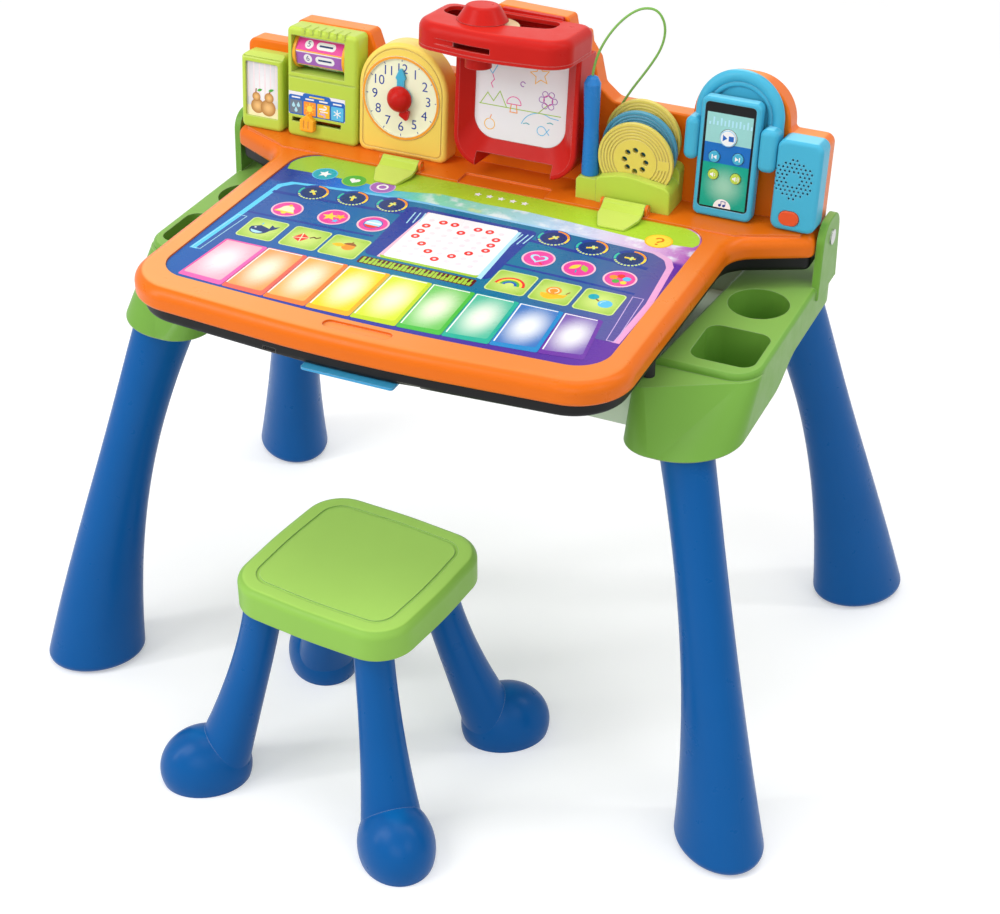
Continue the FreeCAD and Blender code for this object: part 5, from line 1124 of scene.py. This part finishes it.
QUESTION_MARK = stroke(arc_points(0, 2.2, 3.2, 170, -50, 16) + [(0, -1.8), (0, -3.4)], 2.0)
QUESTION_MARK += disc(0, -6.4, 1.4, 14)
BADGES = (
    ("icon_print_teal", -160, 148.5, (12, "sky"), (10.9, "teal"), (star_shape(6.5, 3), "white")),
    ("icon_print_green", -128.5, 147, (12, "lime"), (10.9, "green"), (heart_shape(11), "white")),
    ("icon_print_purple", -99, 145.5, (12, "lilac"), (10.9, "purple"), (ring(0, 0, 4.6, 2), "white")),
    ("question_print", 167, 149, (12.4, "amber"), (11, "yellow"), (QUESTION_MARK, "rust")),
)


def print_page_badges():
    for name, x, y, *rounds, (sign, sign_ink) in BADGES:
        layers = [(disc(x, y, radius), ground) for radius, ground in rounds]
        page_print(name, layers + [(moved(sign, x, y), sign_ink)])
    stars = []
    for step in range(5):
        stars += moved(star_shape(3.8, 1.8), -14 + step * 11.5, 168)
    page_print("title_stars_print", [(stars, "white")])


print_page_badges()

END_PANELS = (
    ("left", "pale sky", ((-190.5, 44), (-181.5, 44), (-187, -26), (-195.5, -26))),
    ("right", "lilac", ((182.5, 47), (192, 47), (196.5, -28), (189, -28))),
)


def print_end_panels():
    """The outlines of two narrow panels beside the end keys."""
    for side, name, points in END_PANELS:
        page_print("side_panel_print_" + side, [(stroke(points, 0.7, closed=True), name)])


print_end_panels()

# Prints of the back wall

PHOTO_DEPTH = 2.5
LABEL_DEPTH = 0.0
LABEL_LOW, LABEL_HIGH = 22.0, 44.2


def wall_print(name, depth, layers):
    printed_piece(name, wall_plane(depth), layers, "lid")


def print_photo_card():
    """Card with two golden pears before a pale curtain."""
    curtain = []
    for x in range(-276, -240, 6):
        curtain += polygon((x, 30), (x + 1.8, 30), (x + 1.4, 65), (x + 0.4, 65))
    backdrop = glowing_ink("photo card", (0.62, 0.6, 0.66), (0.88, 0.87, 0.89), 0.8)
    layers = [
        (tile(-259.5, 38.7, 36, 54.4, 1.5), backdrop),
        (curtain, "paper"),
        (tile(-259.5, 17, 35.6, 10, 1), "cream"),
    ]
    golden = glowing_ink("pear", (0.42, 0.17, 0.03), (0.85, 0.52, 0.2), 0.62)
    for x, size, turn in ((-266, 1.0, 8), (-253.5, 1.12, -6)):
        for part in (disc(0, -4, 7.2, 28), disc(0, 5, 4.4, 24)):
            layers.append((moved(part, x, 26, size, turn), golden))
        layers.append((moved(stroke([(0, 9), (1, 13)], 1.2), x, 26, size, turn), "brown"))
        layers.append((moved(leaf_shape(6, 2.6), x + 3, 26 + 12 * size, 1, 20), "green"))
    wall_print("photo_card_print", PHOTO_DEPTH, layers)


def print_weather_label():
    """Blue label with a tab and four pictures: rain, sun, wind and snow."""
    middle = (LABEL_LOW + LABEL_HIGH) / 2
    layers = [
        (tile(-200, middle - 1.6, 60, LABEL_HIGH - LABEL_LOW - 3.2, 2.5), "blue"),
        (tile(-200, middle + 6, 30, 10, 3), "blue"),
        (stroke([(-208, LABEL_HIGH - 3), (-192, LABEL_HIGH - 3)], 1.4), "yellow"),
    ]
    grounds = ("grey", "orange", "amber", "sky")
    for i, (ground, motif) in enumerate(zip(grounds, (RAIN, SUN, WIND, SNOWFLAKE))):
        x = -222.2 + i * 14.8
        layers.append((tile(x, middle - 3.4, 13, 13, 0.8), ground))
        layers += picture(motif, x, middle - 3.4)
        layers.append((stroke([(x - 4.5, middle + 5.6), (x + 4.5, middle + 5.6)], 1.3), "white"))
    wall_print("weather_label_print", LABEL_DEPTH, layers)


DRUM_MIDDLE = (-199.0, 17.5, 80.4)
DRUM_RADIUS = 16.5
DRUM_SIDES = 7
DRUM_PRINT_LEVEL = 0.12
DRUM_INKS = ("blue", "pink", "purple", "green", "orange", "teal", "red")


def print_day_drum():
    """One coloured band on each side of the drum, with a number on white and a ruled white label."""
    apothem = DRUM_RADIUS * math.cos(math.pi / DRUM_SIDES)
    width = 2 * DRUM_RADIUS * math.sin(math.pi / DRUM_SIDES)
    x, middle_depth, middle_height = DRUM_MIDDLE
    for side in range(DRUM_SIDES):
        angle = -2 * math.pi * side / DRUM_SIDES
        depth = middle_depth + apothem * math.sin(angle)
        height = middle_height + apothem * math.cos(angle)
        up_depth, up_height = math.cos(angle), -math.sin(angle)
        up = wall_point(0, up_height, up_depth) - wall_point(0, 0, 0)
        place = plane_matrix(wall_point(x, height, depth), (1, 0, 0), up)
        number = str((side + 3) % DRUM_SIDES + 1)
        layers = [
            (tile(0, 0, 48.6, width - 1.4, 0.4), DRUM_INKS[side]),
            (stroke([(-24, width / 2 - 1), (24, width / 2 - 1)], 1.0), "white"),
            (disc(-12, 0, 4.4, 24), "white"),
            (tile(6, 0, 20, 7.6, 3.7), "white"),
            (numeral(number, -12, 0, 5.6), "navy"),
            (stroke([(-1, 0), (13, 0)], 1.8), "navy"),
        ]
        printed_piece("day_print_" + number, place, layers, "day_drum", DRUM_PRINT_LEVEL)


print_photo_card()
print_weather_label()
print_day_drum()

CLOCK_MIDDLE = (-112.0, 56.3)
CLOCK_FACE_DEPTH = 0.8
CLOCK_RING_DEPTH = -1.0
CLOCK_FIGURES = 27.4
FIGURE_HEIGHT = 9.2
CLOCK_TICKS = (34.2, 36.2)
CLOCK_RING = 38.2


def print_clock_dial():
    x, h = CLOCK_MIDDLE
    figures = []
    ticks = []
    for hour in range(1, 13):
        angle = math.pi / 2 - hour * math.pi / 6
        c, s = math.cos(angle), math.sin(angle)
        figures += numeral(str(hour), x + CLOCK_FIGURES * c, h + CLOCK_FIGURES * s, FIGURE_HEIGHT)
        ticks += stroke([(x + reach * c, h + reach * s) for reach in CLOCK_TICKS], 0.7)
    layers = [(figures, "deep blue"), (ticks, "deep blue")]
    wall_print("clock_figures_print", CLOCK_FACE_DEPTH, layers)
    orange = plastic("dial ring orange", (0.9, 0.36, 0.03), (0.93, 0.45, 0.08), rough=0.3)
    wall_print("clock_ring_print", CLOCK_RING_DEPTH, [(ring(x, h, CLOCK_RING, 2.3), orange)])


print_clock_dial()

PICTURE_DEPTH = 0.0


def joined(*shapes):
    """Several flat shapes as one."""
    return [face for shape in shapes for face in shape]


def print_projector_plate():
    """Thin drawings on the white plate: kite, flower, star, hills, apple, mushroom and a fish in a pond."""
    line = 0.75
    petals = arc_points(34, 79, 6.2, 0, 300, 5)
    drawings = {
        "sky": joined(
            stroke([(-28, 104), (-22, 112), (-15, 106), (-21, 95)], line, closed=True),
            stroke(arc_points(27, 47, 19, 160, 60, 12) + [(45, 62.6)], line),
            ring(29, 50, 4.2, line, 40, 320),
            stroke([(32.2, 52.7), (36.5, 47)], line),
            stroke([(32.2, 47.3), (36.5, 53)], line),
        ),
        "pink": joined(
            stroke([(-21, 95), (-19, 90), (-22, 86), (-20, 82)], line),
            ring(34, 79, 4.4, line),
            stroke([(-6, 70), (8, 70)], line),
            ring(1, 70, 7, line, 0, 180),
        ),
        "amber": joined(
            moved(stroke(star_shape(9.5, 4.4)[0], line, closed=True), 25, 101, turn=10),
            ring(-22, 48, 5, line, 100, 440),
        ),
        "lime": joined(
            stroke([(-33, 66), (47, 66)], line),
            stroke([(25, 66), (34, 75)], line),
            stroke([(-32, 66), (-25, 77), (-19, 70), (-13, 80), (-6, 66)], line),
        ),
        "orange": joined(
            stroke([(-1.5, 70), (-2.5, 62.5), (4.5, 62.5), (3.5, 70)], line),
            stroke([(-22, 53), (-20.5, 57)], line),
        ),
        "purple": joined(
            *[ring(x, y, 2.6, 0.6) for x, y in petals],
            ring(9, 90, 2.2, line, 20, 300),
        ),
        "teal": joined(
            stroke([(11, 54), (14, 55), (17, 54)], line),
            stroke([(34, 58), (37, 59), (40, 58)], line),
        ),
    }
    layers = [(shape, name) for name, shape in drawings.items()]
    wall_print("projector_plate_print", PICTURE_DEPTH, layers)


print_projector_plate()

SCREEN_DEPTH = 0.6
SCREEN_MIDDLE = 203
SCREEN_WIDTH = 41.6
BUTTON_FRONT_DEPTH = -1.0
HOLE_STEPS = 12

# Each button's middle across and up the wall, and the radius of the screen's hole for it

BUTTONS = {
    "play_button": (203.0, 74.4, 8.0),
    "back_button": (192.0, 56.3, 5.5),
    "skip_button": (213.5, 57.3, 5.5),
    "quieter_button": (192.5, 40.2, 5.1),
    "louder_button": (213.0, 39.4, 5.1),
}


def screen_part(y, height, holes):
    """A field across the screen, cut into strips so that round holes stay open in it."""
    left, right = SCREEN_MIDDLE - SCREEN_WIDTH / 2, SCREEN_MIDDLE + SCREEN_WIDTH / 2
    low, high = y - height / 2, y + height / 2
    levels = {low, high}
    for hx, hy, radius in holes:
        for step in range(HOLE_STEPS + 1):
            level = hy - radius * math.cos(math.pi * step / HOLE_STEPS)
            if low < level < high:
                levels.add(round(level, 3))
    faces = []
    levels = sorted(levels)
    for bottom, top in zip(levels, levels[1:]):
        cuts = []
        for hx, hy, radius in holes:
            if abs((bottom + top) / 2 - hy) < radius:
                reach = [math.sqrt(max(0.0, radius ** 2 - (v - hy) ** 2)) for v in (bottom, top)]
                cuts.append((hx, reach))
        edge = (left, left)
        for hx, reach in sorted(cuts):
            faces.append([(edge[0], bottom), (hx - reach[0], bottom), (hx - reach[1], top), (edge[1], top)])
            edge = (hx + reach[0], hx + reach[1])
        faces.append([(edge[0], bottom), (right, bottom), (right, top), (edge[1], top)])
    return faces


def print_player_screen():
    holes = list(BUTTONS.values())
    pale = ink("screen pale teal", (0.3, 0.62, 0.6), rough=0.14)
    middle = ink("screen blue", (0.012, 0.15, 0.5), rough=0.14)
    lower = glowing_ink("screen green", (0.005, 0.36, 0.25), (0.3, 0.6, 0.45), 0.55)
    bars = []
    for step in range(12):
        rise = 2.5 + 4.5 * abs(math.sin(step * 1.7))
        x = 184.5 + step * 3.4
        bars += polygon((x, 84.5), (x + 1.5, 84.5), (x + 1.5, 84.5 + rise), (x, 84.5 + rise))
    layers = [
        (screen_part(82, 27, holes[:1]), pale),
        (screen_part(59.6, 18, holes[:3]), middle),
        (screen_part(30.6, 40, holes[3:]), lower),
        (bars, "pale sky"),
        ([arc_points(SCREEN_MIDDLE, 10.6, 8, 0, 180, 16)], "white"),
        (disc(200.8, 12.8, 1.3, 12) + disc(204.6, 12.8, 1.3, 12), "deep blue"),
        (stroke([(202, 12.8), (202, 16.6), (205.8, 16.6), (205.8, 12.8)], 0.6), "deep blue"),
    ]
    wall_print("player_screen_print", SCREEN_DEPTH, layers)


def print_button_signs():
    play = [(polygon((-4.6, -3), (-4.6, 3), (-0.6, 0)), "blue"), (tile(3, 0, 4.6, 4.6, 0.3), "blue")]
    back = [
        (polygon((2.4, -2), (2.4, 2), (-0.8, 0)), "white"),
        (stroke([(-1.6, -2), (-1.6, 2)], 1.0), "white"),
    ]
    skip = [(moved(shape, 0, 0, turn=180), name) for shape, name in back]
    speaker = polygon((-2.6, -0.9), (-1.4, -0.9), (0.4, -2.2), (0.4, 2.2), (-1.4, 0.9), (-2.6, 0.9))
    quieter = [(speaker, "white"), (ring(0.2, 0, 1.7, 0.5, -50, 50), "white")]
    louder = quieter + [(ring(0.2, 0, 3.0, 0.5, -50, 50), "white")]
    signs = {
        "play_button": [(ring(0, 0, 6.9, 0.5), "sky")] + play,
        "back_button": back,
        "skip_button": skip,
        "quieter_button": quieter,
        "louder_button": louder,
    }
    place = wall_plane(BUTTON_FRONT_DEPTH)
    for name, motif in signs.items():
        x, h, _ = BUTTONS[name]
        printed_piece(name + "_sign", place, picture(motif, x, h), name)


print_player_screen()
print_button_signs()

# The studio, in metres

FLOOR_REACH = 8.0
FLOOR_GLOW = 0.34
FAR_FLOOR_GLOW = 0.68
GLOW_CHANGES_BETWEEN = (1.2, 4.5)
AMBIENT = 0.5


def seen_directly(tree):
    """1 where the camera, a mirror or a clear piece looks at the paper, and 0 where light falls from it."""
    path = node(tree, "ShaderNodeLightPath").outputs
    seen = maths(tree, "ADD", path["Is Camera Ray"], path["Is Glossy Ray"])
    return maths(tree, "ADD", seen, path["Is Transmission Ray"], clamp=True)


def make_studio():
    floor_mesh = bpy.data.meshes.new("studio_floor")
    floor_shape = bmesh.new()
    bmesh.ops.create_grid(floor_shape, x_segments=1, y_segments=1, size=FLOOR_REACH)
    floor_shape.to_mesh(floor_mesh)
    floor_shape.free()
    floor = add_object("studio_floor", floor_mesh)
    material, tree, shader = new_material("studio floor paper")
    spot = place_in_frame(tree)
    shade = spread(tree, noise(tree, spot, 3.0), 0.3, 0.7, 0.76, 0.78)
    tree.links.new(grey(tree, shade), shader.inputs["Base Color"])
    shader.inputs["Roughness"].default_value = 0.9
    shader.inputs["Specular IOR Level"].default_value = 0.1
    away = vector_maths(tree, "LENGTH", spot)["Value"]
    whiter = spread(tree, away, *GLOW_CHANGES_BETWEEN, FLOOR_GLOW, FAR_FLOOR_GLOW)
    glow = maths(tree, "MULTIPLY", seen_directly(tree), whiter)
    fill = node(tree, "ShaderNodeEmission", Color=(1, 1, 1, 1), Strength=glow)
    both = node(tree, "ShaderNodeAddShader", i0=shader.outputs[0], i1=fill.outputs[0])
    tree.links.new(both.outputs[0], tree.nodes["Material Output"].inputs["Surface"])
    floor_mesh.materials.append(material)


def make_world():
    world = bpy.data.worlds.new("studio world")
    bpy.context.scene.world = world
    world.use_nodes = True
    tree = world.node_tree
    tree.nodes.clear()
    strength = spread(tree, seen_directly(tree), 0.0, 1.0, AMBIENT, 1.0, smooth=False)
    light = node(tree, "ShaderNodeBackground", Color=(1, 1, 1, 1), Strength=strength)
    out = tree.nodes.new("ShaderNodeOutputWorld")
    tree.links.new(light.outputs[0], out.inputs["Surface"])


def area_light(name, place, target, power, width, height):
    lamp = bpy.data.lights.new(name, "AREA")
    lamp.energy = power
    lamp.shape = "RECTANGLE"
    lamp.size = width
    lamp.size_y = height
    holder = add_object(name, lamp)
    holder.location = place
    holder.rotation_euler = (Vector(target) - Vector(place)).to_track_quat("-Z", "Y").to_euler()


CAMERA_PLACE = (0.6818, -1.3990, 1.2588)
CAMERA_LOOKS_DOWN = 0.583
CAMERA_TURN = 0.425
FOCAL_LENGTH = 72.33


def make_camera():
    lens = bpy.data.cameras.new("product camera")
    lens.lens = FOCAL_LENGTH
    lens.sensor_width = 36.0
    camera = add_object("product camera", lens)
    camera.location = CAMERA_PLACE
    camera.rotation_euler = (math.pi / 2 - CAMERA_LOOKS_DOWN, 0.0, CAMERA_TURN)
    bpy.context.scene.camera = camera


make_studio()
make_world()
area_light("key light", (-1.35, -1.7, 2.45), (0, 0, 0.3), 31, 1.4, 1.4)
area_light("overhead light", (0.2, 0.2, 2.8), (0, 0, 0.3), 24, 2.0, 2.0)
area_light("front fill", (0.6, -2.6, 1.4), (0, 0, 0.25), 12, 1.8, 1.2)
area_light("right fill", (2.2, -1.1, 1.7), (0, 0, 0.3), 7, 1.2, 1.2)
area_light("left strip", (-1.6, -1.3, 1.1), (0, 0, 0.3), 8, 0.16, 1.2)
area_light("right strip", (1.5, 0.6, 2.0), (0, 0, 0.4), 7, 0.14, 1.2)
make_camera()
bpy.context.scene.view_settings.view_transform = "Standard"
